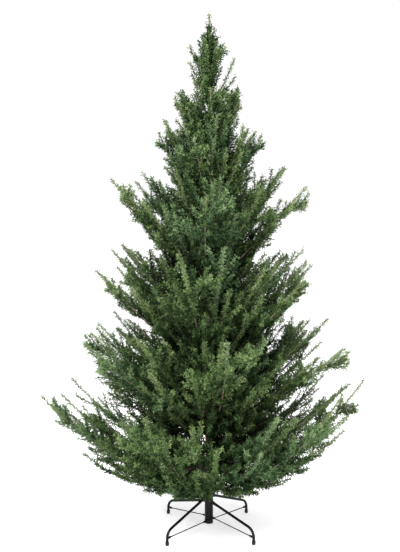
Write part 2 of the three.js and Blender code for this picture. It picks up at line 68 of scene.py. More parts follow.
# The solids' cores, on which the sprays stand
GAP = 0.0003
STEM_RADIUS = 0.0115
STEM_END = 0.001
SLOPE_STEP = 0.001
TWIG_RADIUS = 0.0105
TIP_NARROWING = 0.45
CORE_SIDES = 3
SPRIG_LEAN = math.radians(46)
SPRIG_TWIST = math.radians(29)
SPRIG_FIRST, SPRIG_LAST = 0.18, 0.86
SPRIG_SHORTEST, SPRIG_LONGEST = 0.75, 1.1
SPRAY_SHORTENING = 0.5
SPACE_MARGIN = 0.004
POLE_CLEARANCE = 0.012
SHRINKING = (1, 0.8, 0.62, 0.45)
BOW = 0.14
HEAVE = 0.14
RING_TWIGS = (0.08, 0.76)
LEADER_TWIGS = (0.04, 0.72)
TWIG_ANGLE = (38, 52)
TWIG_TURN_SPREAD = 24
TWIG_LENGTH_SPREAD = 0.08
TWIG_SHORTENING = 0.5
GOLDEN_ANGLE = 137.5

# The finer growth that the solids leave out. A bough fans out into arms: an arm's rise is the share of the
# way to the ring above, or below where it is negative, its turn is a share of its mass's half angle, and
# parted is how far from the collar it has parted from the bough.
Arm = namedtuple("Arm", "rise turn reach parted")
ARMS = [
    Arm(0.0, 0.74, 0.84, 0.14),
    Arm(0.0, -0.76, 0.86, 0.14),
    Arm(0.30, 0.54, 0.90, 0.14),
    Arm(0.32, -0.50, 0.92, 0.14),
    Arm(-0.34, 0.50, 0.58, 0.12),
    Arm(-0.30, -0.62, 0.62, 0.12),
    Arm(0.50, 0.24, 0.80, 0.08),
    Arm(-0.42, -0.04, 0.50, 0.06),
    Arm(0.14, 0.30, 0.92, 0.14),
    Arm(-0.12, -0.32, 0.84, 0.14),
    Arm(0.24, 0.86, 0.60, 0.10),
    Arm(-0.10, -0.88, 0.56, 0.10),
    Arm(-0.20, 0.90, 0.44, 0.08),
    Arm(0.10, -0.94, 0.46, 0.08),
    Arm(0.55, 0.66, 0.50, 0.08),
    Arm(0.50, -0.70, 0.50, 0.08),
]
# From the waist up, two more run low beneath each bough
LOW_ARMS = [
    Arm(-0.85, 0.60, 0.84, 0.16),
    Arm(-0.80, -0.62, 0.80, 0.16),
]
# On the lowest ring, short ones fill the room round the foot of the bough
INNER_ARMS = [
    Arm(0.75, 0.15, 0.46, 0.06),
    Arm(0.65, -0.50, 0.42, 0.06),
    Arm(0.25, 0.55, 0.42, 0.06),
    Arm(-0.25, 0.16, 0.52, 0.06),
    Arm(-0.22, -0.34, 0.66, 0.06),
]
# Arms vary at random in rise, turn and reach. One beneath its bough, but not a low one, has a share of its
# reach that grows with its ring: the first number of UNDERSIDE, and the second for each metre of the ring.
ARM_SPREAD = 0.10
ARM_SHORTEST = 0.92
UNDERSIDE = (0.50, 0.72)
LOW = -0.6
ARM_LIMIT = 0.93
PARTED_WITHIN = 0.32
ARM_STEPS = 12
ARM_ROOM = 0.012
ARM_CLEAR_OF_POLE = 0.03
ARM_CLAD_FROM = 0.9
ARM_SEED = 17
# Painted shade: an arm beneath its bough gets a darker tone by this much for each share of its drop, except
# on the lowest ring
SHADE_BELOW = 0.15
# The lowest ring's undersides are fuller or thinner, bough by bough, and its arms drop below its boughs
LOWEST_UNDERSIDES = (1.35, 1.25, 0.8, 1.0, 1.0, 1.0)
LOWEST_ARM_DROP = 0.24

# The boughs' steel wires and the tape round them
BOUGH_STEPS = 24
BOUGH_SIDES = 8
BOUGH_CLAD_FROM = 0.05
WIRE_IN_COLLAR = 0.004
LEADER_STEPS = 12
TIP_ROOM = 0.011
BOUGH_WIRE = 0.0046
BOUGH_WIRE_TIP = 0.0015
ARM_WIRE = 0.0034
ARM_WIRE_TIP = 0.0012
ARM_SIDES = 6
WRAP_PITCH = 0.011
WRAP_RELIEF = 0.16
WRAP_STEPS = 3

# Seeds of the finer growth, which leaves the solids' own draws as they are
FINE_SEED = 7
AZIMUTH_SEEDS, AZIMUTH_SHIFT = 1000, 7

# The solids' sprays, bent forwards and trimmed so that they don't stand out as spikes
SPRAY_FORWARD = 0.7
SPRAY_TRIM = 0.8
LEADER_TRIM = 0.7
LEADER_SPRAYS = 0.7

# More twigs along a stem: their distance apart and length, the share of the stem where they end, their angles
# to it in degrees, and the share of their length that is lost towards its end
Twigs = namedtuple("Twigs", "spacing length up_to angle shrink")
ARM_FINE_TWIGS = Twigs(0.035, 0.200, 0.78, (22, 38), 0.4)
LEADER_FINE_TWIGS = Twigs(0.007, 0.240, 0.70, (14, 32), 0.76)
# On an arm, spacing and length grow with its ring's reach from these shares
SPACING_SHARE = 0.6
LENGTH_SHARE, LENGTH_PER_METRE = 0.60, 0.55
FEWEST_TWIGS = 3
SHORTEST_TWIG = 0.025
TWIG_PLACES = (0.2, 0.8)
TWIG_LENGTHS = (0.8, 1.2)
TWIG_RAISED = (-18, 34)
UPWARD_EVERY = 5
UPWARD_SPREAD = 45
LEADER_TURN_SPREAD = 34
SAG = 0.05
SAG_SPREAD = (0.4, 1.2)
LONG_TWIG = 0.1
TWIG_STEPS, LONG_TWIG_STEPS = 2, 4
TWIG_WIRE = 0.0028

# Sprigs, the short blunt shoots that carry most of the needles. They start at a share of each line's length.
SPRIG_SPACING = 0.0059
SPRIG_GAPS = (0.85, 1.15)
SPRIG_CROWDING = 0.25
SPRIG_FIRST_GAP = (0.3, 1.0)
SPRIG_LAST_GAP = 0.3
SPRIG_LENGTH = 0.0150
SPRIG_LENGTHS = (0.75, 1.15)
SPRIG_SHORTENING = 0.15
SPRIG_ANGLE = (56, 38)
SPRIG_ANGLE_SPREAD = 6
SPRIG_TURN_SPREAD = 25
SPRIG_WIRE = 0.0022
TWIG_SPRIGS_FROM = 0.04
STEM_SPRIGS_FROM = 0.30
BOUGH_SPRIGS_FROM = 0.62
LEADER_SPRIGS_FROM = 0.1

# How fresh and lit the green is, from 0 for inner growth on, which is painted darker as shade; the leader
# counts partly as outer growth. Towards tips the green is truly lighter, and it differs at random.
PAINTED_SHADE_INWARD = 0.42
FRESH_TOWARDS_TIP = 0.20
FRESH_SPREAD = 0.18
SPRIG_FRESH_SPREAD = 0.1
FROND_SPREAD = 0.18
COOL_SHARE = 0.3
LEADER_OUTWARD = 0.55
LEADER_FRESH_AND_LIT = 0.6

# The needles. They lean out at a shoot's root and forwards at its tip, and stand further apart on a twig.
NEEDLE_LENGTH = 0.0108
NEEDLE_SHORTENING = 0.15
NEEDLE_LENGTHS = (0.75, 1.12)
NEEDLE_TAPER = 0.5
TWIG_NEEDLE_GAP = 2.2
LEAN_AT_ROOT = math.radians(70)
LEAN_AT_TIP = math.radians(40)
LEAN_TURN = 2.5
LEAN_SPREAD = 0.22
SPIN_SPREAD = 0.5
FACING_SPREAD = 1.2
WIRE_TAPER = 0.5
CORE_CORNERS = 3

# The pole, each of its tubes by top and radius, and the collars that its boughs are hinged on
POLE_FOOT = 0.0313
POLE_SECTIONS = [(0.905, 0.0152), (1.545, 0.0132), (1.858, 0.011)]
POLE_SHOULDER = 0.001
POLE_SIDES = 40
POLE_EDGE, COLLAR_EDGE = 0.0012, 0.002
COLLAR_RADIUS = 0.023
COLLAR_HEIGHT = 0.018
POLE_CORNERS = 12

# The stand
STAND_TURN = 1.5
FOOT_CIRCLE = 0.262
SOCKET_RADIUS, SOCKET_BOTTOM, SOCKET_TOP = 0.017, 0.0313, 0.205
RING_RADIUS, RING_BORE = 0.01915, 0.01735
LOWER_SEAM, UPPER_SEAM, TOP_COLLAR_END = 0.046, 0.138, 0.175
SEAM_GROOVE = 0.0011
CUP_BOTTOM, CUP_FLOOR = 0.027, 0.031
LEG_RADIUS, LEG_BEND = 0.0059, 0.042
LEG_SHOULDER = Vector((0.229, 0.071))
HINGE_REACH = 0.027
STAY_RADIUS = 0.0023
STAY_END = Vector((0.247, 0.032))
FOOT_RADIUS, FOOT_HEIGHT, FOOT_FLOOR = 0.0078, 0.017, 0.003
Leg = namedtuple("Leg", "name azimuth hinge stay on_top")
LEGS = [
    Leg("front_left", 225, 0.1465, 0.038, True),
    Leg("front_right", 315, 0.1235, 0.055, False),
    Leg("back_right", 45, 0.1465, 0.038, True),
    Leg("back_left", 135, 0.1235, 0.055, False),
]
# A hinge: the radius of a rod's eye and its plate's thickness, the cheeks' thickness, the pin's radius, and
# how far the pin stands out
Hinge = namedtuple("Hinge", "eye plate ear pin proud")
LEG_HINGE = Hinge(0.008, 0.005, 0.0024, 0.0025, 0.0012)
STAY_HINGE = Hinge(0.005, 0.003, 0.0018, 0.0015, 0.0012)
# The round nose of an eye, as shares of its radius along and across, and the neck where it turns into a rod
EYE_NOSE = [(-1.0, 0.10), (-0.94, 0.42), (-0.75, 0.70), (-0.45, 0.90), (0.0, 1.0), (0.9, 0.98)]
EYE_SQUARENESS = 0.55
EYE_NECK = 1.7
NECK_SHARES = (0.2, 0.4, 0.6, 0.8, 1.0)
# The cheeks on both sides of an eye, as shares of its radius, with their edges rounded by depth and inset
EAR_ROOT, EAR_REACH, EAR_HEIGHT = 0.9, 0.8075, 0.72
EAR_STEPS = 8
EAR_SINK = 0.0015
EAR_EDGES = ((-0.5, 0.05), (-0.42, 0.0), (0.42, 0.0), (0.5, 0.05))
# The pin's domed heads, as shares of its radius and of theirs
PIN_HEAD, PIN_DOME, PIN_DOME_EDGE = 1.6, 0.7, 0.0002
PIN_SIDES = 16
TUBE_EDGE, TUBE_SIDES, SOCKET_WALL = 0.0009, 48, 0.0015
LEG_SIDES, LEG_BEND_STEPS = 20, 12
STAY_SIDES = 14
# The foot cap narrows at its sole and at its rim, by shares of its radius, over these heights
CAP_SOLE, CAP_SOLE_HEIGHT = 0.92, 0.004
CAP_RIM, CAP_RIM_HEIGHT = 0.93, 0.002
CAP_EDGE, CAP_CLEARANCE, CAP_SIDES = 0.001, 0.0004, 32
SHARP_EDGE = math.radians(38)


# Random numbers and small vector helpers

class Dice:
    """Repeatable random numbers, the same ones as the solids grow by."""

    MULTIPLIER = 1664525
    INCREMENT = 1013904223
    RANGE = 2 ** 32

    def __init__(self, seed):
        self.state = seed % self.RANGE

    def draw(self, low, high):
        self.state = (self.state * self.MULTIPLIER + self.INCREMENT) % self.RANGE
        return low + (high - low) * self.state / self.RANGE


Station = namedtuple("Station", "point along side radius")


def side_of(along):
    side = UP.cross(along)
    if side.length < 1e-3:
        side = Vector((1, 0, 0))
    return side.normalized()


def mix(low, high, share):
    return low + (high - low) * share


# The rings' surfaces and the space that each mass keeps to

def height_on(ring, radius):
    """The height of a ring's surface, which its boughs follow, at this distance from the pole's axis."""
    share = max(0.0, radius - COLLAR_RADIUS) / (ring.reach - COLLAR_RADIUS)
    return ring.foot + ring.rise * share ** ring.bend


def floor_at(level, radius):
    if level == 0:
        return max(FLOOR_OF_CROWN, height_on(RINGS[0], radius) - LOWEST_DROOP)
    return (height_on(LEVELS[level - 1], radius) + height_on(LEVELS[level], radius)) / 2


def ceiling_at(level, radius):
    if level == len(LEVELS) - 1:
        return TREE_HEIGHT + SPACE_MARGIN
    return floor_at(level + 1, radius)


Space = namedtuple("Space", "level azimuth half_angle reach inner_radius")


def on_leader(space):
    return space.level == len(RINGS)


def inside_space(space, point):
    radius = math.hypot(point.x, point.y)
    if radius > space.reach or radius < space.inner_radius:
        return False
    if point.z < floor_at(space.level, radius) + SPACE_MARGIN:
        return False
    if point.z > ceiling_at(space.level, radius) - SPACE_MARGIN:
        return False
    if space.half_angle >= math.pi:
        return True
    turn = math.atan2(point.y, point.x) - space.azimuth
    turn = abs((turn + math.pi) % (2 * math.pi) - math.pi)
    return turn < space.half_angle and radius * math.sin(space.half_angle - turn) > SPACE_MARGIN


def fitting_length(space, start, along, length):
    """A twig that would leave its space is tried shorter, and then left out."""
    for share in SHRINKING:
        if all(inside_space(space, start + along * (length * share * part)) for part in (0.5, 0.75, 1)):
            return length * share
    return 0.0


# Stems and twigs, by the rule that the solids grow by

def bough_shape(ring, dice):
    bow = dice.draw(-BOW, BOW) * ring.reach
    rise = ring.rise * (1 + dice.draw(-HEAVE, HEAVE))
    return ring._replace(rise=rise), bow


def bough_point(shape, bow, azimuth, radius):
    sideways = bow * (radius / shape.reach) ** 2
    x = radius * math.cos(azimuth) - sideways * math.sin(azimuth)
    y = radius * math.sin(azimuth) + sideways * math.cos(azimuth)
    return Vector((x, y, height_on(shape, radius)))


def bough_stations(shape, bow, azimuth, start, end, radii, steps):
    stations = []
    for i in range(steps + 1):
        radius = mix(start, end, i / steps)
        point = bough_point(shape, bow, azimuth, radius)
        along = (bough_point(shape, bow, azimuth, radius + SLOPE_STEP) - point).normalized()
        if radius < COLLAR_RADIUS + 2 * GAP:
            along = Vector((along.x, along.y, 0)).normalized()
        stations.append(Station(point, along, side_of(along), mix(radii[0], radii[1], i / steps)))
    return stations


def straight(start, along, length, radius, steps):
    side = side_of(along)
    stations = []
    for i in range(steps + 1):
        point = start + along * (length * i / steps)
        stations.append(Station(point, along, side, radius * (1 - TIP_NARROWING * i / steps)))
    return stations


def collar_face(azimuth):
    step = 2 * math.pi / POLE_CORNERS
    off_corner = (azimuth + step / 2) % step - step / 2
    return COLLAR_RADIUS * math.cos(off_corner) + GAP


def branching(station, angle, around):
    """The direction at an angle to a station's own, turned around it from its side."""
    upward = station.along.cross(station.side)
    sideways = station.side * math.cos(around) + upward * math.sin(around)
    return (station.along * math.cos(angle) + sideways * math.sin(angle)).normalized()


def between(stations, share):
    place = share * (len(stations) - 1)
    low = min(int(place), len(stations) - 2)
    rest = place - low
    a, b = stations[low], stations[low + 1]
    along = a.along.lerp(b.along, rest).normalized()
    return Station(a.point.lerp(b.point, rest), along, side_of(along), mix(a.radius, b.radius, rest))


def core_sprigs(stations, sprig_length, space, dice):
    """Where the solids have spikes on a core: each one's foot on the axis, its direction and its length.

    The spikes are found as the solids find them, and then bent forwards along the core and trimmed.
    """
    steps = len(stations) - 1
    first_turn = dice.draw(0, 2 * math.pi)
    rings = []
    for i, station in enumerate(stations[:steps]):
        upward = station.along.cross(station.side)
        turns = [first_turn + 2 * math.pi * k / CORE_SIDES + SPRIG_TWIST * i for k in range(CORE_SIDES)]
        rings.append([station.point + station.side * (station.radius * math.cos(t))
                      + upward * (station.radius * math.sin(t)) for t in turns])
    found = []
    for k in range(CORE_SIDES):
        other = (k + 1) % CORE_SIDES
        for i in range(steps - 1):
            middle = (rings[i][k] + rings[i][other] + rings[i + 1][other] + rings[i + 1][k]) / 4
            share = (i + 0.5) / steps
            axis = stations[i].point.lerp(stations[i + 1].point, 0.5)
            outwards = (middle - axis).normalized()
            along = outwards * math.sin(SPRIG_LEAN) + stations[i].along * math.cos(SPRIG_LEAN)
            wanted = sprig_length * (1 - SPRAY_SHORTENING * share) * dice.draw(SPRIG_SHORTEST, SPRIG_LONGEST)
            if share < SPRIG_FIRST or share > SPRIG_LAST:
                continue
            length = fitting_length(space, middle, along, wanted)
            if length > 0:
                reach = middle + along * length - axis
                shown = SPRAY_TRIM * (LEADER_SPRAYS if on_leader(space) else 1.0)
                forward = (reach.normalized() + stations[i].along * SPRAY_FORWARD).normalized()
                found.append((axis, forward, reach.length * shown))
    return found


# A brush is a twig that is clad in needles: its line, its wire's radius, how fresh and lit its green is, with
# painted shade on inner growth, and whether it belongs to a cool green frond
Brush = namedtuple("Brush", "line wire fresh cool")
# A frond's greens are cool or warm, and its tone makes all of it lighter at random, and darker as painted
# shade where it runs beneath its bough
Frond = namedtuple("Frond", "cool tone")


def bowed_line(start, along, length, sag, steps):
    """A line that sags a little in its middle, so that it turns up towards its tip."""
    line = []
    for i in range(steps + 1):
        share = i / steps
        point = start + along * (length * share)
        point.z -= sag * length * math.sin(math.pi * share)
        line.append(point)
    return line


def any_frond(dice, tone=0.0):
    return Frond(dice.draw(0, 1) < COOL_SHARE, tone + dice.draw(0, FROND_SPREAD))


def freshness_and_painted_shade(space, point, frond, dice):
    """Inner growth is painted darker as shade and outer growth lighter as lit, and no two twigs are alike."""
    outward = min(1.0, math.hypot(point.x, point.y) / space.reach)
    if on_leader(space):
        outward = mix(outward, 1.0, LEADER_OUTWARD)
    return PAINTED_SHADE_INWARD * outward + frond.tone + dice.draw(0, FRESH_SPREAD)


def sprigs_along(space, line, fresh, frond, first, dice):
    """Short blunt sprigs in a spiral along a line from its share first on, smaller towards its tip."""
    lengths = [(b - a).length for a, b in zip(line, line[1:])]
    total = sum(lengths)
    brushes = []
    travelled = total * first + SPRIG_SPACING * dice.draw(*SPRIG_FIRST_GAP)
    around = dice.draw(0, 360)
    while travelled < total - SPRIG_LAST_GAP * SPRIG_SPACING:
        share = travelled / total
        step, rest = 0, travelled
        while rest > lengths[step] and step < len(lengths) - 1:
            rest -= lengths[step]
            step += 1
        root = line[step].lerp(line[step + 1], rest / lengths[step])
        along = (line[step + 1] - line[step]).normalized()
        station = Station(root, along, side_of(along), 0)
        angle = mix(*SPRIG_ANGLE, share) + dice.draw(-SPRIG_ANGLE_SPREAD, SPRIG_ANGLE_SPREAD)
        heading = branching(station, math.radians(angle), math.radians(around))
        length = SPRIG_LENGTH * (1 - SPRIG_SHORTENING * share) * dice.draw(*SPRIG_LENGTHS)
        if inside_space(space, root + heading * (length / 2)):
            # Sprigs are truly lighter towards a line's tip; the value also carries the painted shade of inner
            # growth
            sprig_fresh_and_lit = fresh + FRESH_TOWARDS_TIP * share ** 2
            sprig_fresh_and_lit += dice.draw(-SPRIG_FRESH_SPREAD, SPRIG_FRESH_SPREAD)
            brushes.append(Brush([root, root + heading * length], SPRIG_WIRE, sprig_fresh_and_lit, frond.cool))
        around += GOLDEN_ANGLE + dice.draw(-SPRIG_TURN_SPREAD, SPRIG_TURN_SPREAD)
        travelled += SPRIG_SPACING * (1 - SPRIG_CROWDING * share) * dice.draw(*SPRIG_GAPS)
    return brushes


def clad_twig(space, start, along, length, frond, dice):
    """A twig with needles of its own and short sprigs all round it."""
    steps = LONG_TWIG_STEPS if length > LONG_TWIG else TWIG_STEPS
    line = bowed_line(start, along, length, SAG * dice.draw(*SAG_SPREAD), steps)
    fresh = freshness_and_painted_shade(space, line[-1], frond, dice)
    sprigs = sprigs_along(space, line, fresh, frond, TWIG_SPRIGS_FROM, dice)
    return [Brush(line, TWIG_WIRE, fresh, frond.cool), *sprigs]


def twigs_on(stem, shares, space, ring, around, dice):
    """The solids' own sprays and twigs on a stem, each clad in finer sprigs, and more twigs between them."""
    fine = Dice(ring.seed * FINE_SEED + int(AZIMUTH_SEEDS * (space.azimuth + AZIMUTH_SHIFT)))
    frond = any_frond(fine)
    brushes = []
    for start, along, length in core_sprigs(stem, ring.sprig_length, space, dice):
        brushes += clad_twig(space, start, along, length, frond, fine)
    for i in range(ring.twigs):
        part = i / (ring.twigs - 1)
        place = between(stem, mix(shares[0], shares[1], part))
        angle = dice.draw(*TWIG_ANGLE)
        turn = around(i) + dice.draw(-TWIG_TURN_SPREAD, TWIG_TURN_SPREAD)
        along = branching(place, math.radians(angle), math.radians(turn))
        spread = dice.draw(1 - TWIG_LENGTH_SPREAD, 1 + TWIG_LENGTH_SPREAD)
        wanted = ring.twig_length * (1 - TWIG_SHORTENING * part) * spread
        length = fitting_length(space, place.point, along, wanted)
        if length > 0:
            shown = length * (1 - LEADER_TRIM * part) if ring is LEADER else length
            brushes += clad_twig(space, place.point, along, shown, frond, fine)
            twig = straight(place.point, along, length, TWIG_RADIUS, ring.twig_steps)
            for spray in core_sprigs(twig, ring.sprig_length * length / wanted, space, dice):
                if (spray[0] - place.point).length < shown:
                    brushes += clad_twig(space, *spray, frond, fine)
    if ring is LEADER:
        return brushes + twigs_along(stem, space, LEADER_FINE_TWIGS, around, frond, fine)
    return brushes + twigs_along(stem, space, arm_twigs(ring), None, frond, fine)


def arm_twigs(ring):
    """The twigs on a ring's arms, which are smaller and closer together higher up."""
    spacing = ARM_FINE_TWIGS.spacing * (SPACING_SHARE + ring.reach)
    length = ARM_FINE_TWIGS.length * (LENGTH_SHARE + LENGTH_PER_METRE * ring.reach)
    return ARM_FINE_TWIGS._replace(spacing=spacing, length=length)


def twigs_along(stem, space, twigs, around, frond, dice):
    """More twigs all along a stem: around says to which side, or else by turns left, right and upwards."""
    brushes = []
    length = sum((b.point - a.point).length for a, b in zip(stem, stem[1:])) * twigs.up_to
    count = max(FEWEST_TWIGS, int(length / twigs.spacing))
    flip = 1 if dice.draw(0, 1) > 0.5 else 0
    for i in range(count):
        part = (i + dice.draw(*TWIG_PLACES)) / count
        place = between(stem, part * twigs.up_to)
        if around:
            turn = around(i) + dice.draw(-LEADER_TURN_SPREAD, LEADER_TURN_SPREAD)
        elif i % UPWARD_EVERY == UPWARD_EVERY - 1:
            turn = 90 + dice.draw(-UPWARD_SPREAD, UPWARD_SPREAD)
        else:
            raised = dice.draw(*TWIG_RAISED)
            turn = raised if (i + flip) % 2 == 0 else 180 - raised
        angle = dice.draw(*twigs.angle)
        along = branching(place, math.radians(angle), math.radians(turn))
        wanted = twigs.length * (1 - twigs.shrink * part) * dice.draw(*TWIG_LENGTHS)
        reach = fitting_length(space, place.point, along, wanted)
        if reach > SHORTEST_TWIG:
            brushes += clad_twig(space, place.point, along, reach, frond, dice)
    return brushes


def arm_height(level, rise, parted_by, radius):
    """An arm leaves the collar with its bough, and parts from it to its own height."""
    ring = LEVELS[level]
    own = height_on(ring, radius)
    if rise < 0 and level == 0:
        other = own - LOWEST_ARM_DROP
    else:
        other = height_on(LEVELS[level + (1 if rise > 0 else -1)], radius)
    parted = min(1.0, max(0.0, radius - COLLAR_RADIUS) / parted_by)
    return mix(own, other, abs(rise) * parted * parted * (3 - 2 * parted))


def arm_reach(ring, other, arm, dice):
    """How far an arm reaches, between its ring's reach and the reach of the ring that it rises towards."""
    reach = mix(ring.reach, other.reach, abs(arm.rise)) * arm.reach * dice.draw(ARM_SHORTEST, 1.0)
    if LOW < arm.rise < 0:
        reach *= UNDERSIDE[0] + UNDERSIDE[1] * ring.reach
    return min(reach, ARM_LIMIT * ring.reach)


def grow_arm(level, azimuth, space, arm, dice):
    """One arm beside a bough's main stem, as its wire and the brushes on it."""
    ring = LEVELS[level]
    reach = arm_reach(ring, LEVELS[level + 1] if arm.rise > 0 else ring, arm, dice)
    rise = arm.rise + dice.draw(-ARM_SPREAD, ARM_SPREAD)
    turn = azimuth + space.half_angle * (arm.turn + dice.draw(-ARM_SPREAD, ARM_SPREAD))
    parted_by = min(arm.parted, PARTED_WITHIN * ring.reach)
    points = []
    for i in range(ARM_STEPS + 1):
        radius = mix(COLLAR_RADIUS, reach, i / ARM_STEPS)
        parted = min(1.0, (radius - COLLAR_RADIUS) / parted_by)
        heading = azimuth + (turn - azimuth) * parted
        height = arm_height(level, rise, parted_by, radius)
        if radius > space.inner_radius + ARM_CLEAR_OF_POLE:
            height = min(height, ceiling_at(level, radius) - ARM_ROOM)
            height = max(height, floor_at(level, radius) + ARM_ROOM)
        points.append(Vector((radius * math.cos(heading), radius * math.sin(heading), height)))
    wire = []
    for i, (point, (along, _, _)) in enumerate(zip(points, frames_along(points))):
        wire.append(Station(point, along, side_of(along), mix(ARM_WIRE, ARM_WIRE_TIP, i / ARM_STEPS)))
    clad = [station for station in wire if station.point.xy.length > space.inner_radius]
    line = [station.point for station in clad if station.point.xy.length > ring.start * ARM_CLAD_FROM]
    # An arm that is too short for a line of needles stays bare
    if len(line) < 2:
        return wire, []
    # Arms beneath their bough, except on the lowest ring, get a darker tone as painted shade
    frond = any_frond(dice, SHADE_BELOW * min(0.0, arm.rise) if level > 0 else 0.0)
    fresh = freshness_and_painted_shade(space, line[-1], frond, dice)
    brushes = [Brush(line, SPRIG_WIRE, fresh, frond.cool),
               *sprigs_along(space, line, fresh, frond, STEM_SPRIGS_FROM, dice)]
    return wire, brushes + twigs_along(clad, space, arm_twigs(ring), None, frond, dice)


# What grows from one collar: the bough's and the arms' wires as stations, and every brush on them
Growth = namedtuple("Growth", "bough arms brushes")


def grow_bough(level, azimuth, seed, underside):
    """One bough from the collar to its tip, with all that grows on it."""
    ring = RINGS[level]
    dice = Dice(seed)
    shape, bow = bough_shape(ring, dice)
    space = Space(level, azimuth, math.pi / ring.count, ring.reach, COLLAR_RADIUS + POLE_CLEARANCE)
    start = ring.start + GAP if ring.start > 0 else collar_face(azimuth)
    stem = bough_stations(shape, bow, azimuth, start, ring.reach - STEM_END,
                          (STEM_RADIUS, STEM_RADIUS / 2), ring.stem_steps)

    def up_then_sideways(i):
        return 90 if i == 0 else 180 * ((i + 1) % 2)

    brushes = twigs_on(stem, RING_TWIGS, space, ring, up_then_sideways, dice)
    wire = bough_stations(shape, bow, azimuth, collar_face(azimuth) - WIRE_IN_COLLAR, ring.reach - TIP_ROOM,
                          (BOUGH_WIRE, BOUGH_WIRE_TIP), BOUGH_STEPS)
    clad_from = max(ring.start, COLLAR_RADIUS + BOUGH_CLAD_FROM)
    clad = [station.point for station in wire if station.point.xy.length >= clad_from]
    fine = Dice(seed + ARM_SEED)
    frond = any_frond(fine)
    fresh = freshness_and_painted_shade(space, clad[-1], frond, fine)
    brushes += sprigs_along(space, clad, fresh, frond, BOUGH_SPRIGS_FROM, fine)
    arms = []
    mirrored = 1 if fine.draw(0, 1) > 0.5 else -1
    extra = INNER_ARMS if level == 0 else LOW_ARMS if level > 1 else []
    for arm in ARMS + extra:
        fullness = underside if arm.rise < 0 else 1.0
        own_arm = arm._replace(turn=arm.turn * mirrored, reach=arm.reach * fullness)
        arm_wire, arm_brushes = grow_arm(level, azimuth, space, own_arm, fine)
        arms.append(arm_wire)
        brushes += arm_brushes
    return Growth(wire, arms, brushes)


def grow_leader():
    """The leader stands on the pole, with twigs all round it that grow shorter to the top."""
    dice = Dice(LEADER.seed)
    space = Space(len(RINGS), 0, math.pi, LEADER.reach, 0)
    foot = POLE_SECTIONS[-1][0] + GAP
    stem = straight(Vector((0, 0, foot)), UP, TREE_HEIGHT - foot, STEM_RADIUS, LEADER.stem_steps)
    brushes = twigs_on(stem, LEADER_TWIGS, space, LEADER, lambda i: i * GOLDEN_ANGLE, dice)
    wire = straight(Vector((0, 0, foot)), UP, TREE_HEIGHT - foot - TIP_ROOM, BOUGH_WIRE, LEADER_STEPS)
    line = [station.point for station in wire]
    frond = any_frond(dice)
    brushes.append(Brush(line, SPRIG_WIRE, LEADER_FRESH_AND_LIT, frond.cool))
    brushes += sprigs_along(space, line, LEADER_FRESH_AND_LIT, frond, LEADER_SPRIGS_FROM, dice)
    return Growth(wire, [], brushes)


def grow_ring(level):
    """Every bough of one ring, or the leader above them all."""
    if level == len(RINGS):
        return [grow_leader()]
    ring = RINGS[level]
    grown = []
    for i in range(ring.count):
        azimuth = math.radians(ring.turn + 360 * i / ring.count)
        underside = LOWEST_UNDERSIDES[i] if level == 0 else 1.0
        grown.append(grow_bough(level, azimuth, ring.seed + SEED_STEP * i, underside))
    return grown


# Meshes and pieces

def new_piece(name, shapes, material):
    mesh = bpy.data.meshes.new(name)
    mesh.from_pydata([tuple(vertex) for vertex in shapes.vertices], [], shapes.faces)
    mesh.validate()
    return dress(bpy.data.objects.new(name, mesh), material, True)


def dress(piece, material, smooth):
    """Puts a finished piece in the scene, in its material and slot and on the one body."""
    bpy.context.scene.collection.objects.link(piece)
    piece.data.materials.clear()
    piece.data.materials.append(material)
    piece.data.polygons.foreach_set("use_smooth", [smooth] * len(piece.data.polygons))
    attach(piece, "root")
    return piece


class Shapes:
    """Vertices and faces that several shapes of one piece add to."""

    def __init__(self):
        self.vertices = []
        self.faces = []

    def add(self, vertices, faces):
        base = len(self.vertices)
        self.vertices += vertices
        self.faces += [tuple(base + corner for corner in face) for face in faces]


def frames_along(points):
    """A turning frame at each point of a line, carried along it without twist."""
    tangents = []
    for i, point in enumerate(points):
        ahead = points[min(i + 1, len(points) - 1)]
        behind = points[max(i - 1, 0)]
        tangents.append((ahead - behind).normalized())
    side = side_of(tangents[0])
    frames = []
    for tangent in tangents:
        side = (side - tangent * side.dot(tangent)).normalized()
        frames.append((tangent, side, tangent.cross(side)))
    return frames


def bar_faces(rows, sides):
    """The walls and both ends of a bar whose vertices are so many rows of corners."""
    faces = []
    for i in range(rows - 1):
        for k in range(sides):
            a, b = i * sides + k, i * sides + (k + 1) % sides
            faces.append((a, b, b + sides, a + sides))
    faces.append(tuple(reversed(range(sides))))
    faces.append(tuple((rows - 1) * sides + k for k in range(sides)))
    return faces


def tube(points, radii, sides, relief=None):
    """A closed round bar along a line. relief changes its radius by distance along and angle round."""
    vertices = []
    distance = 0.0
    for i, (point, (tangent, side, upward)) in enumerate(zip(points, frames_along(points))):
        if i > 0:
            distance += (point - points[i - 1]).length
        for k in range(sides):
            angle = 2 * math.pi * k / sides
            radius = radii[i] * (relief(distance, angle) if relief else 1)
            vertices.append(point + side * (radius * math.cos(angle)) + upward * (radius * math.sin(angle)))
    return vertices, bar_faces(len(points), sides)


def wrapped(distance, angle):
    """Tape wound round a wire: each turn laps over the one before it."""
    turn = (distance / WRAP_PITCH + angle / (2 * math.pi)) % 1
    return 1 + WRAP_RELIEF * (turn - 0.5)


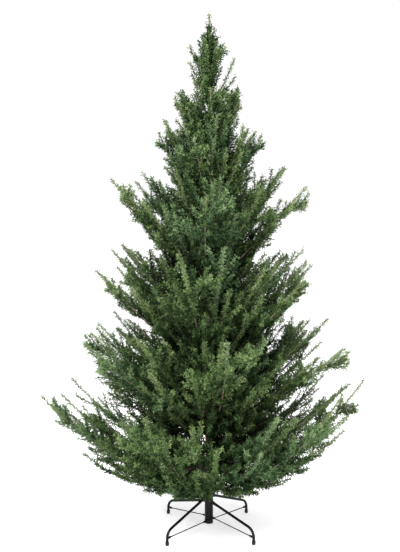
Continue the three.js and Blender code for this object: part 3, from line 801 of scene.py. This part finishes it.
def lathe(profile, sides):
    """A shape turned about the upright axis, from [radius, height] pairs that start and end on the axis."""
    vertices, faces = [], []
    rows = []
    for radius, height in profile:
        if radius < 1e-6:
            rows.append([len(vertices)] * sides)
            vertices.append(Vector((0, 0, height)))
            continue
        row = []
        for k in range(sides):
            angle = 2 * math.pi * k / sides
            row.append(len(vertices))
            vertices.append(Vector((radius * math.cos(angle), radius * math.sin(angle), height)))
        rows.append(row)
    for low, high in zip(rows, rows[1:]):
        for k in range(sides):
            n = (k + 1) % sides
            face = [low[k], low[n], high[n], high[k]]
            face = [corner for i, corner in enumerate(face) if corner not in face[:i]]
            if len(face) > 2:
                faces.append(tuple(face))
    return vertices, faces


def rounded(profile, radius, steps=3):
    """Rounds the corners of a profile whose first and last points stay as they are."""
    points = [Vector(p) for p in profile]
    result = [points[0]]
    for before, corner, after in zip(points, points[1:], points[2:]):
        back, forth = before - corner, after - corner
        cut = min(radius, back.length * 0.45, forth.length * 0.45)
        a, b = corner + back.normalized() * cut, corner + forth.normalized() * cut
        for i in range(steps + 1):
            t = i / steps
            result.append(a * (1 - t) ** 2 + corner * (2 * t * (1 - t)) + b * t ** 2)
    result.append(points[-1])
    return [tuple(p) for p in result]


# Geometry Nodes: needles along the lines of a crown's brushes

def add_node(tree, kind, links=(), **settings):
    """Adds a node, sets its plain settings and joins the given outputs to its inputs by name."""
    node = tree.nodes.new(kind)
    for name, value in settings.items():
        setattr(node, name, value)
    for name, source in dict(links).items():
        if isinstance(source, bpy.types.NodeSocket):
            tree.links.new(source, node.inputs[name])
        else:
            node.inputs[name].default_value = source
    return node


def tree_with_inputs(name, inputs):
    """A tree from geometry to geometry with these inputs and a material, and its input node's outputs."""
    tree = bpy.data.node_groups.new(name, "GeometryNodeTree")
    sockets = tree.interface
    sockets.new_socket("Geometry", in_out="INPUT", socket_type="NodeSocketGeometry")
    for key, kind, value in inputs:
        sockets.new_socket(key, in_out="INPUT", socket_type="NodeSocket" + kind).default_value = value
    sockets.new_socket("Material", in_out="INPUT", socket_type="NodeSocketMaterial")
    sockets.new_socket("Geometry", in_out="OUTPUT", socket_type="NodeSocketGeometry")
    return tree, tree.nodes.new("NodeGroupInput").outputs


def named_value(tree, name):
    node = add_node(tree, "GeometryNodeInputNamedAttribute", {"Name": name}, data_type="FLOAT")
    return node.outputs["Attribute"]


def random_value(tree, low, high, seed):
    node = add_node(tree, "FunctionNodeRandomValue", data_type="FLOAT")
    floats = [socket for socket in node.inputs if socket.type == "VALUE"]
    floats[0].default_value = low
    floats[1].default_value = high
    tree.links.new(seed, node.inputs["Seed"])
    return [socket for socket in node.outputs if socket.type == "VALUE"][0]


def maths(tree, operation, a, b):
    node = tree.nodes.new("ShaderNodeMath")
    node.operation = operation
    for socket, value in zip(node.inputs, (a, b)):
        if isinstance(value, bpy.types.NodeSocket):
            tree.links.new(value, socket)
        else:
            socket.default_value = value
    return node.outputs[0]


def needle_blade(tree, taper):
    """A flat blunt needle one unit long and wide, which stands on its root and narrows to its tip."""
    sheet = add_node(tree, "GeometryNodeMeshGrid",
                     {"Size X": 1.0, "Size Y": 1.0, "Vertices X": 2, "Vertices Y": 2})
    corner = tree.nodes.new("GeometryNodeInputPosition")
    parts = add_node(tree, "ShaderNodeSeparateXYZ", {"Vector": corner.outputs[0]})
    height = maths(tree, "ADD", parts.outputs["Y"], 0.5)
    width = maths(tree, "SUBTRACT", 1.0, maths(tree, "MULTIPLY", height, taper))
    place = add_node(tree, "ShaderNodeCombineXYZ",
                     {"X": maths(tree, "MULTIPLY", parts.outputs["X"], width), "Z": height})
    blade = add_node(tree, "GeometryNodeSetPosition",
                     {"Geometry": sheet.outputs["Mesh"], "Position": place.outputs[0]})
    return blade.outputs[0]


def needle_tree():
    """Sets needles in a spiral along each twig, leaning forwards more and more to its tip."""
    tree, given = tree_with_inputs("needles_along_twigs", [
        ("Spacing", "Float", GREENS[0].spacing),
        ("Needle Width", "Float", GREENS[0].width),
        ("Taper", "Float", NEEDLE_TAPER),
        ("Seed", "Int", 0),
    ])
    curves = add_node(tree, "GeometryNodeMeshToCurve", {"Mesh": given["Geometry"]})
    spacing = maths(tree, "MULTIPLY", given["Spacing"], named_value(tree, "gap"))
    points = add_node(tree, "GeometryNodeCurveToPoints",
                      {"Curve": curves.outputs[0], "Length": spacing}, mode="LENGTH")
    index = tree.nodes.new("GeometryNodeInputIndex").outputs[0]
    spiral = maths(tree, "MULTIPLY", index, math.radians(GOLDEN_ANGLE))
    spin = maths(tree, "ADD", spiral, random_value(tree, -SPIN_SPREAD, SPIN_SPREAD, given["Seed"]))
    lean = maths(tree, "ADD", named_value(tree, "lean"),
                 random_value(tree, -LEAN_SPREAD, LEAN_SPREAD, given["Seed"]))
    turn = add_node(tree, "ShaderNodeCombineXYZ", {"X": lean, "Z": spin})
    own_turn = add_node(tree, "FunctionNodeEulerToRotation", {"Euler": turn.outputs[0]})
    leant = add_node(tree, "FunctionNodeRotateRotation",
                     {"Rotation": points.outputs["Rotation"], "Rotate By": own_turn.outputs[0]},
                     rotation_space="LOCAL")
    facing = add_node(tree, "ShaderNodeCombineXYZ",
                      {"Z": random_value(tree, -FACING_SPREAD, FACING_SPREAD, given["Seed"])})
    facing_turn = add_node(tree, "FunctionNodeEulerToRotation", {"Euler": facing.outputs[0]})
    rotation = add_node(tree, "FunctionNodeRotateRotation",
                        {"Rotation": leant.outputs[0], "Rotate By": facing_turn.outputs[0]},
                        rotation_space="LOCAL")
    length = maths(tree, "MULTIPLY", named_value(tree, "needle"),
                   random_value(tree, *NEEDLE_LENGTHS, given["Seed"]))
    size = add_node(tree, "ShaderNodeCombineXYZ", {"X": given["Needle Width"], "Y": 1.0, "Z": length})
    needles = add_node(tree, "GeometryNodeInstanceOnPoints",
                       {"Points": points.outputs["Points"], "Instance": needle_blade(tree, given["Taper"]),
                        "Rotation": rotation.outputs[0], "Scale": size.outputs[0]})
    finish_tree(tree, needles.outputs[0], given["Material"])
    return tree


def core_tree():
    """Gives each twig a closed core with a few sides, as thick as its wire attribute says."""
    tree, given = tree_with_inputs("cores_of_twigs", [("Sides", "Int", CORE_CORNERS)])
    curves = add_node(tree, "GeometryNodeMeshToCurve", {"Mesh": given["Geometry"]})
    section = add_node(tree, "GeometryNodeCurvePrimitiveCircle",
                       {"Resolution": given["Sides"], "Radius": 1.0})
    bars = add_node(tree, "GeometryNodeCurveToMesh",
                    {"Curve": curves.outputs[0], "Profile Curve": section.outputs["Curve"],
                     "Scale": named_value(tree, "wire"), "Fill Caps": True})
    finish_tree(tree, bars.outputs[0], given["Material"])
    return tree


def finish_tree(tree, geometry, material):
    """Ends a tree with real meshes in their material."""
    real = add_node(tree, "GeometryNodeRealizeInstances", {"Geometry": geometry})
    finish = add_node(tree, "GeometryNodeSetMaterial", {"Geometry": real.outputs[0], "Material": material})
    result = tree.nodes.new("NodeGroupOutput")
    tree.links.new(finish.outputs[0], result.inputs[0])


LINE_VALUES = ("needle", "lean", "wire", "gap")


def lines_mesh(name, brushes):
    """The brushes' lines as loose edges, with needle length, lean, gap and wire radius at each point."""
    mesh = bpy.data.meshes.new(name)
    vertices, edges = [], []
    needle, lean, wire, gap = [], [], [], []
    for brush in brushes:
        base = len(vertices)
        count = len(brush.line)
        gap += [1.0 if count == 2 else TWIG_NEEDLE_GAP] * count
        for i, point in enumerate(brush.line):
            share = i / (count - 1)
            vertices.append(tuple(point))
            needle.append(NEEDLE_LENGTH * (1 - NEEDLE_SHORTENING * share))
            lean.append(mix(LEAN_AT_ROOT, LEAN_AT_TIP, share ** LEAN_TURN))
            wire.append(brush.wire * (1 - WIRE_TAPER * share))
        edges += [(base + i, base + i + 1) for i in range(count - 1)]
    mesh.from_pydata(vertices, edges, [])
    for key, values in zip(LINE_VALUES, (needle, lean, wire, gap)):
        mesh.attributes.new(key, "FLOAT", "POINT").data.foreach_set("value", values)
    return mesh


def grown_piece(name, brushes, tree, values, material):
    """Runs a tree of Geometry Nodes over the brushes' lines and keeps the result as a plain mesh."""
    source = bpy.data.objects.new(name + "_lines", lines_mesh(name + "_lines", brushes))
    bpy.context.scene.collection.objects.link(source)
    modifier = source.modifiers.new("growth", "NODES")
    modifier.node_group = tree
    places = {item.name: item.identifier for item in tree.interface.items_tree if item.in_out == "INPUT"}
    for key, value in {**values, "Material": material}.items():
        modifier[places[key]] = value
    evaluated = source.evaluated_get(bpy.context.evaluated_depsgraph_get())
    mesh = bpy.data.meshes.new_from_object(evaluated)
    mesh.name = name
    for key in LINE_VALUES:
        if key in mesh.attributes:
            mesh.attributes.remove(mesh.attributes[key])
    bpy.data.objects.remove(source)
    return dress(bpy.data.objects.new(name, mesh), material, False)


# Materials

def plain_material(name, colour, roughness, **values):
    """One even colour. Other values are the shader's inputs by name, with _ for a space."""
    material = bpy.data.materials.new(name)
    material.use_nodes = True
    shader = material.node_tree.nodes["Principled BSDF"]
    shader.inputs["Base Color"].default_value = (*colour, 1)
    shader.inputs["Roughness"].default_value = roughness
    for key, value in values.items():
        shader.inputs[key.replace("_", " ")].default_value = value
    return material


def mottle_group():
    """Uneven colour and roughness, with a fine grain as height, for painted, wrapped and moulded things."""
    group = bpy.data.node_groups.new("uneven_finish", "ShaderNodeTree")
    sockets = group.interface
    for name, kind, value in (("Colour", "NodeSocketColor", (0.1, 0.1, 0.1, 1)),
                              ("Second Colour", "NodeSocketColor", (0.2, 0.2, 0.2, 1)),
                              ("Patch Size", "NodeSocketFloat", 40.0),
                              ("Grain Size", "NodeSocketFloat", 900.0),
                              ("Roughness", "NodeSocketFloat", 0.5),
                              ("Roughness Spread", "NodeSocketFloat", 0.15)):
        sockets.new_socket(name, in_out="INPUT", socket_type=kind).default_value = value
    for name, kind in (("Colour", "NodeSocketColor"), ("Roughness", "NodeSocketFloat"),
                       ("Height", "NodeSocketFloat")):
        sockets.new_socket(name, in_out="OUTPUT", socket_type=kind)
    given = group.nodes.new("NodeGroupInput").outputs
    where = group.nodes.new("ShaderNodeTexCoord").outputs["Object"]
    patches = add_node(group, "ShaderNodeTexNoise",
                       {"Vector": where, "Scale": given["Patch Size"], "Detail": 4.0})
    grain = add_node(group, "ShaderNodeTexNoise",
                     {"Vector": where, "Scale": given["Grain Size"], "Detail": 3.0})
    spread = add_node(group, "ShaderNodeMapRange",
                      {"Value": patches.outputs["Fac"], "From Min": 0.38, "From Max": 0.64})
    blend = group.nodes.new("ShaderNodeMix")
    blend.data_type = "RGBA"
    group.links.new(spread.outputs[0], blend.inputs["Factor"])
    colours = [socket for socket in blend.inputs if socket.type == "RGBA"]
    group.links.new(given["Colour"], colours[0])
    group.links.new(given["Second Colour"], colours[1])
    shift = maths(group, "MULTIPLY", maths(group, "SUBTRACT", patches.outputs["Fac"], 0.5),
                  given["Roughness Spread"])
    rough = maths(group, "ADD", given["Roughness"], shift)
    result = group.nodes.new("NodeGroupOutput")
    mixed = [socket for socket in blend.outputs if socket.type == "RGBA"][0]
    group.links.new(mixed, result.inputs["Colour"])
    group.links.new(rough, result.inputs["Roughness"])
    group.links.new(grain.outputs["Fac"], result.inputs["Height"])
    return group


def uneven_material(name, group, colour, second, patches, grain, roughness, bump, **values):
    """Two colours in patches, and a grain that stands up by bump in metres."""
    material = plain_material(name, colour, roughness, **values)
    tree = material.node_tree
    finish = tree.nodes.new("ShaderNodeGroup")
    finish.node_tree = group
    finish.inputs["Colour"].default_value = (*colour, 1)
    finish.inputs["Second Colour"].default_value = (*second, 1)
    finish.inputs["Patch Size"].default_value = patches
    finish.inputs["Grain Size"].default_value = grain
    finish.inputs["Roughness"].default_value = roughness
    relief = tree.nodes.new("ShaderNodeBump")
    relief.inputs["Strength"].default_value = 0.5
    relief.inputs["Distance"].default_value = bump
    shader = tree.nodes["Principled BSDF"]
    tree.links.new(finish.outputs["Colour"], shader.inputs["Base Color"])
    tree.links.new(finish.outputs["Roughness"], shader.inputs["Roughness"])
    tree.links.new(finish.outputs["Height"], relief.inputs["Height"])
    tree.links.new(relief.outputs["Normal"], shader.inputs["Normal"])
    return material


# The greens, from inner growth painted dark as shade to outer growth and tips, which are truly lighter and
# also painted lighter as lit. Inner needles stand further apart and are wider.
Green = namedtuple("Green", "name highest colour cool_colour spacing width")
GREENS = [
    Green("shaded", 0.38, (0.005, 0.011, 0.002), (0.005, 0.012, 0.003), 0.0052, 0.0060),
    Green("deep", 0.50, (0.017, 0.035, 0.010), (0.017, 0.038, 0.014), 0.0041, 0.0052),
    Green("middle", 0.62, (0.045, 0.080, 0.027), (0.044, 0.082, 0.033), 0.0031, 0.0043),
    Green("fresh", 0.74, (0.086, 0.134, 0.047), (0.083, 0.137, 0.058), 0.0029, 0.0041),
    Green("tips", 9.0, (0.140, 0.198, 0.078), (0.138, 0.200, 0.092), 0.0027, 0.0039),
]



def needle_plastic(name, colour):
    return plain_material(name, colour, 0.75, Specular_IOR_Level=0.06)


uneven = mottle_group()
warm_greens = {green.name: needle_plastic("needles_" + green.name, green.colour)
               for green in GREENS}
cool_greens = {green.name: needle_plastic("needles_cool_" + green.name, green.cool_colour)
               for green in GREENS}
twig_green = plain_material("twig_wires", (0.018, 0.024, 0.011), 0.9, Specular_IOR_Level=0.05)
tape = uneven_material("wrapping_tape", uneven, (0.200, 0.150, 0.110), (0.110, 0.082, 0.060),
                       patches=60, grain=700, roughness=0.8, bump=0.0004)
pole_paint = uneven_material("pole_paint", uneven, (0.150, 0.060, 0.024), (0.085, 0.038, 0.018),
                             patches=35, grain=900, roughness=0.6, bump=0.0002)
stand_paint = uneven_material("stand_powder_coat", uneven, (0.0018, 0.0018, 0.0032), (0.0035, 0.0035, 0.0055),
                              patches=45, grain=1400, roughness=0.24, bump=0.00012, Specular_IOR_Level=0.14)
foot_rubber = uneven_material("foot_rubber", uneven, (0.006, 0.006, 0.006), (0.010, 0.010, 0.010),
                              patches=80, grain=1100, roughness=0.75, bump=0.0002, Specular_IOR_Level=0.3)


# The crown

def foliage_nodes(ring):
    if ring.name == "leader":
        return ["foliage_leader"]
    return [f"foliage_{ring.name}_{i + 1}" for i in range(ring.count)]


def green_of(brush):
    return next(green.name for green in GREENS if brush.fresh < green.highest)


def build_crown():
    """Each ring's needles, apart by green, then its twigs' wires, and its boughs."""
    needles = needle_tree()
    cores = core_tree()
    for level, ring in enumerate(LEVELS):
        grown = grow_ring(level)
        brushes = [brush for growth in grown for brush in growth.brushes]
        for order, green in enumerate(GREENS):
            for kind, materials in (("warm", warm_greens), ("cool", cool_greens)):
                chosen = [brush for brush in brushes
                          if green_of(brush) == green.name and brush.cool == (kind == "cool")]
                if not chosen:
                    continue
                values = {"Spacing": green.spacing, "Needle Width": green.width, "Taper": NEEDLE_TAPER,
                          "Seed": 10 * level + order}
                name = f"needles_{ring.name}_{kind}_{green.name}"
                material = materials[green.name]
                grown_piece(name, chosen, needles, values, material)
        twigs = [brush for brush in brushes if brush.wire == TWIG_WIRE]
        grown_piece(f"twigs_{ring.name}", twigs, cores, {"Sides": CORE_CORNERS}, twig_green)
        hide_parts(*foliage_nodes(ring))
        build_boughs(ring, grown)


def build_boughs(ring, grown):
    """The boughs' steel wires, wound with tape from the collar to the tip, and their arms."""
    shapes = Shapes()
    for growth in grown:
        for arm in growth.arms:
            points = [station.point for station in arm]
            shapes.add(*tube(points, [station.radius for station in arm], ARM_SIDES))
    for growth in grown:
        bough = growth.bough
        steps = int((bough[-1].point - bough[0].point).length / (WRAP_PITCH / WRAP_STEPS))
        stations = [between(bough, i / steps) for i in range(steps + 1)]
        points = [station.point for station in stations]
        shapes.add(*tube(points, [station.radius for station in stations], BOUGH_SIDES, wrapped))
    piece = new_piece(f"boughs_{ring.name}", shapes, tape)
    if ring.start > 0:
        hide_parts(*[f"bough_{ring.name}_{i + 1}" for i in range(ring.count)])


# The pole

def build_pole():
    """Three tubes, each thinner than the one below, with a collar for each ring of boughs."""
    profile = [(0, POLE_FOOT), (POLE_SECTIONS[0][1], POLE_FOOT)]
    for (height, radius), (_, next_radius) in zip(POLE_SECTIONS, POLE_SECTIONS[1:]):
        profile += [(radius, height), (next_radius, height + POLE_SHOULDER)]
    top, top_radius = POLE_SECTIONS[-1]
    profile += [(top_radius, top), (0, top)]
    shapes = Shapes()
    shapes.add(*lathe(rounded(profile, POLE_EDGE), POLE_SIDES))
    for ring in RINGS:
        low, high = ring.foot - COLLAR_HEIGHT / 2, ring.foot + COLLAR_HEIGHT / 2
        collar = [(0, low), (COLLAR_RADIUS, low), (COLLAR_RADIUS, high), (0, high)]
        shapes.add(*lathe(rounded(collar, COLLAR_EDGE), POLE_SIDES))
    piece = new_piece("pole_tube", shapes, pole_paint)
    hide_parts("pole")


# The stand

def to_azimuth(azimuth):
    outwards = Vector((math.cos(azimuth), math.sin(azimuth), 0))
    across = outwards.cross(UP)
    return Matrix((outwards, UP, across)).transposed()


def turned_to(azimuth, vertices):
    matrix = to_azimuth(azimuth)
    return [matrix @ vertex for vertex in vertices]


def section_ring(centre, heading, half_height, half_thickness, sides, squareness):
    """One section of a rod that lies in the upright plane: wide across the plane where it is flattened."""
    upward = Vector((-heading.y, heading.x, 0))
    ring = []
    for k in range(sides):
        angle = 2 * math.pi * k / sides
        c, s = math.cos(angle), math.sin(angle)
        c = math.copysign(abs(c) ** squareness, c)
        s = math.copysign(abs(s) ** squareness, s)
        ring.append(centre + upward * (half_height * c) + Vector((0, 0, half_thickness * s)))
    return ring


def loft(rings):
    return [vertex for ring in rings for vertex in ring], bar_faces(len(rings), len(rings[0]))


def flattened_end(pin, heading, hinge, rod_radius, sides):
    """The stations from the round nose of a flattened eye to the round rod."""
    half = hinge.plate / 2
    rings = []
    for x, y in EYE_NOSE:
        centre = pin + heading * (hinge.eye * x)
        rings.append(section_ring(centre, heading, hinge.eye * y, half, sides, EYE_SQUARENESS))
    neck_start, neck_width = EYE_NOSE[-1]
    for share in NECK_SHARES:
        smooth = share * share * (3 - 2 * share)
        centre = pin + heading * (hinge.eye * (neck_start + EYE_NECK * share))
        rings.append(section_ring(centre, heading, mix(hinge.eye * neck_width, rod_radius, smooth),
                                  mix(half, rod_radius, smooth), sides, mix(EYE_SQUARENESS, 1.0, share)))
    return rings


def leg_shape(leg):
    """A round rod: a flattened hinge end, a straight run down, a bend, and an upright end in its foot."""
    pin = Vector((HINGE_REACH, leg.hinge, 0))
    down = (Vector((LEG_SHOULDER.x, LEG_SHOULDER.y, 0)) - pin).normalized()
    slope = math.atan2(-down.y, down.x)
    turn = math.pi / 2 - slope
    corner_height = pin.y - (FOOT_CIRCLE - pin.x) * math.tan(slope)
    centre = Vector((FOOT_CIRCLE - LEG_BEND, corner_height - LEG_BEND * math.tan(turn / 2), 0))
    rings = flattened_end(pin, down, LEG_HINGE, LEG_RADIUS, LEG_SIDES)
    for i in range(LEG_BEND_STEPS + 1):
        angle = math.pi / 2 - slope - turn * i / LEG_BEND_STEPS
        point = centre + Vector((math.cos(angle), math.sin(angle), 0)) * LEG_BEND
        heading = Vector((math.sin(angle), -math.cos(angle), 0))
        rings.append(section_ring(point, heading, LEG_RADIUS, LEG_RADIUS, LEG_SIDES, 1.0))
    foot = Vector((FOOT_CIRCLE, FOOT_FLOOR + GAP, 0))
    rings.append(section_ring(foot, Vector((0, -1, 0)), LEG_RADIUS, LEG_RADIUS, LEG_SIDES, 1.0))
    return loft(rings)


def stay_shape(leg):
    """A thin straight rod with a flattened eye at each end."""
    inner = Vector((HINGE_REACH, leg.stay, 0))
    outer = Vector((STAY_END.x, STAY_END.y, 0))
    out = (outer - inner).normalized()
    rings = flattened_end(inner, out, STAY_HINGE, STAY_RADIUS, STAY_SIDES)
    far = flattened_end(outer, -out, STAY_HINGE, STAY_RADIUS, STAY_SIDES)
    for ring in reversed(far):
        rings.append([ring[0]] + list(reversed(ring[1:])))
    return loft([aligned(rings[0], ring) for ring in rings])


def aligned(first, ring):
    """Starts a section's corners at the one that lies on the same side as the first section's start."""
    centre = sum(first, Vector()) / len(first)
    towards = (first[0] - centre).normalized()
    middle = sum(ring, Vector()) / len(ring)
    start = max(range(len(ring)), key=lambda k: (ring[k] - middle).normalized().dot(towards))
    return ring[start:] + ring[:start]


def ear_shapes(hinge, root, pin):
    """Two rounded cheeks and the domed pin through them."""
    sign = 1 if pin.x > root else -1
    outline = [(root, -hinge.eye * EAR_ROOT)]
    for i in range(EAR_STEPS + 1):
        angle = math.radians(-90 + 180 * i / EAR_STEPS)
        outline.append((pin.x + sign * hinge.eye * EAR_REACH * math.cos(angle),
                        hinge.eye * EAR_HEIGHT * math.sin(angle)))
    outline.append((root, hinge.eye * EAR_ROOT))
    offset = hinge.plate / 2 + GAP + hinge.ear / 2
    shapes = Shapes()
    for side in (-1, 1):
        rings = []
        for depth, inset in EAR_EDGES:
            ring = []
            for x, y in outline:
                x = mix(x, pin.x, inset)
                y = mix(y, 0, inset)
                ring.append(Vector((x, pin.y + y, side * offset + hinge.ear * depth)))
            rings.append(ring if sign < 0 else list(reversed(ring)))
        shapes.add(*loft(rings))
    half = offset + hinge.ear / 2 + hinge.proud
    head = hinge.pin * PIN_HEAD
    profile = [(0, -half), (head * PIN_DOME, -half + PIN_DOME_EDGE), (head, -half + hinge.proud),
               (hinge.pin, -half + hinge.proud), (hinge.pin, half - hinge.proud), (head, half - hinge.proud),
               (head * PIN_DOME, half - PIN_DOME_EDGE), (0, half)]
    vertices, faces = lathe(profile, PIN_SIDES)
    shapes.add([Vector((pin.x + v.x, pin.y + v.y, v.z)) for v in vertices], faces)
    return shapes


def stand_piece(name, shapes, material, node):
    piece = new_piece(name, shapes, material)
    piece.data.set_sharp_from_angle(angle=SHARP_EDGE)
    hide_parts(node)


def tube_piece(name, profile, hinges, node):
    """One piece of the middle tube, with cheeks and a pin for each of its hinges."""
    shapes = Shapes()
    shapes.add(*lathe(rounded(profile, TUBE_EDGE), TUBE_SIDES))
    for leg, hinge, height in hinges:
        ears = ear_shapes(hinge, RING_RADIUS - EAR_SINK, Vector((HINGE_REACH, height, 0)))
        shapes.add(turned_to(math.radians(leg.azimuth + STAND_TURN), ears.vertices), ears.faces)
    stand_piece(name, shapes, stand_paint, node)


def leg_hinges(legs):
    return [(leg, LEG_HINGE, leg.hinge) for leg in legs]


def stay_hinges(legs):
    return [(leg, STAY_HINGE, leg.stay) for leg in legs]


def build_stand():
    """The middle tube's pieces, and a leg with its stay and foot cap at each corner."""
    top = [leg for leg in LEGS if leg.on_top]
    sleeve = [leg for leg in LEGS if not leg.on_top]
    hollow = [(RING_BORE, 0), (RING_RADIUS, 0), (RING_RADIUS, 1), (RING_BORE, 1)]

    def shell(low, high):
        return [(radius, mix(low, high, share)) for radius, share in hollow]

    socket = [(SOCKET_RADIUS - SOCKET_WALL, SOCKET_BOTTOM), (SOCKET_RADIUS, SOCKET_BOTTOM),
              (SOCKET_RADIUS, SOCKET_TOP), (SOCKET_RADIUS - SOCKET_WALL, SOCKET_TOP)]
    cup_rim = LOWER_SEAM - SEAM_GROOVE
    cup = [(0, CUP_BOTTOM), (RING_RADIUS, CUP_BOTTOM), (RING_RADIUS, cup_rim), (RING_BORE, cup_rim),
           (RING_BORE, CUP_FLOOR), (0, CUP_FLOOR)]
    tube_piece("socket_tube", closed(socket), [], "stand_socket")
    tube_piece("bottom_cup", cup, stay_hinges(top), "stand_bottom_cup")
    tube_piece("sleeve", closed(shell(LOWER_SEAM + SEAM_GROOVE, UPPER_SEAM - SEAM_GROOVE)),
               leg_hinges(sleeve) + stay_hinges(sleeve), "stand_sleeve")
    tube_piece("top_collar", closed(shell(UPPER_SEAM + SEAM_GROOVE, TOP_COLLAR_END)),
               leg_hinges(top), "stand_top_collar")
    for leg in LEGS:
        build_leg(leg)


def closed(profile):
    """A ring's profile, started on the middle of its inner wall and led back there."""
    first, last = Vector(profile[0]), Vector(profile[-1])
    middle = tuple((first + last) / 2)
    return [middle, *profile, middle]


def build_leg(leg):
    """A leg with the cheeks for its stay, the stay, and the cap on the leg's foot."""
    azimuth = math.radians(leg.azimuth + STAND_TURN)
    rod = Shapes()
    rod.add(*leg_shape(leg))
    ears = ear_shapes(STAY_HINGE, FOOT_CIRCLE - LEG_RADIUS + EAR_SINK, Vector((STAY_END.x, STAY_END.y, 0)))
    rod.add(ears.vertices, ears.faces)
    rod.vertices = turned_to(azimuth, rod.vertices)
    stand_piece("leg_" + leg.name, rod, stand_paint, "stand_leg_" + leg.name)
    stay = Shapes()
    stay.add(*stay_shape(leg))
    stay.vertices = turned_to(azimuth, stay.vertices)
    stand_piece("stay_" + leg.name, stay, stand_paint, "stand_stay_" + leg.name)
    cap = Shapes()
    bore = LEG_RADIUS + CAP_CLEARANCE
    profile = [(0, 0), (FOOT_RADIUS * CAP_SOLE, 0), (FOOT_RADIUS, CAP_SOLE_HEIGHT),
               (FOOT_RADIUS, FOOT_HEIGHT - CAP_RIM_HEIGHT), (FOOT_RADIUS * CAP_RIM, FOOT_HEIGHT),
               (bore, FOOT_HEIGHT), (bore, FOOT_FLOOR), (0, FOOT_FLOOR)]
    cap.add(*lathe(rounded(profile, CAP_EDGE), CAP_SIDES))
    place = Vector((FOOT_CIRCLE * math.cos(azimuth), FOOT_CIRCLE * math.sin(azimuth), 0))
    cap.vertices = [vertex + place for vertex in cap.vertices]
    stand_piece("cap_" + leg.name, cap, foot_rubber, "stand_foot_" + leg.name)


# The room: a wide pale floor, soft light and the camera

def build_room():
    floor_colour = plain_material("studio_floor", (0.93, 0.93, 0.93), 0.95, Emission_Color=(1, 1, 1, 1),
                                  Emission_Strength=0.34)
    mesh = bpy.data.meshes.new("studio_floor")
    size = 60.0
    corners = [(-size, -size, 0), (size, -size, 0), (size, size, 0), (-size, size, 0)]
    mesh.from_pydata(corners, [], [(0, 1, 2, 3)])
    floor = bpy.data.objects.new("studio_floor", mesh)
    mesh.materials.append(floor_colour)
    bpy.context.scene.collection.objects.link(floor)


def area_light(name, place, aim, size, power):
    light = bpy.data.lights.new(name, "AREA")
    light.shape = "DISK"
    light.size = size
    light.energy = power
    lamp = bpy.data.objects.new(name, light)
    lamp.location = place
    lamp.rotation_euler = (Vector(aim) - Vector(place)).to_track_quat("-Z", "Y").to_euler()
    bpy.context.scene.collection.objects.link(lamp)


def build_light():
    area_light("key", (-1.8, -3.6, 4.0), (0, 0, 1.0), 2.6, 300)
    area_light("fill", (2.6, -4.2, 1.4), (0, 0, 0.6), 2.0, 120)
    area_light("top", (0.2, 0.6, 4.6), (0, 0, 1.0), 2.4, 80)
    world = bpy.data.worlds.new("studio_air")
    world.use_nodes = True
    air = world.node_tree.nodes["Background"]
    air.inputs["Color"].default_value = (1, 1, 1, 1)
    air.inputs["Strength"].default_value = 1.1
    bpy.context.scene.world = world


def build_camera():
    camera = bpy.data.cameras.new("camera")
    camera.lens = CAMERA_LENS
    camera.sensor_width = 36
    camera.clip_start = 0.05
    holder = bpy.data.objects.new("camera", camera)
    holder.location = CAMERA_PLACE
    holder.rotation_euler = (math.radians(90 - CAMERA_PITCH_DOWN), 0, 0)
    bpy.context.scene.collection.objects.link(holder)
    bpy.context.scene.camera = holder
    bpy.context.scene.view_settings.view_transform = "Standard"


build_camera()
build_light()
build_room()
build_stand()
build_pole()
build_crown()
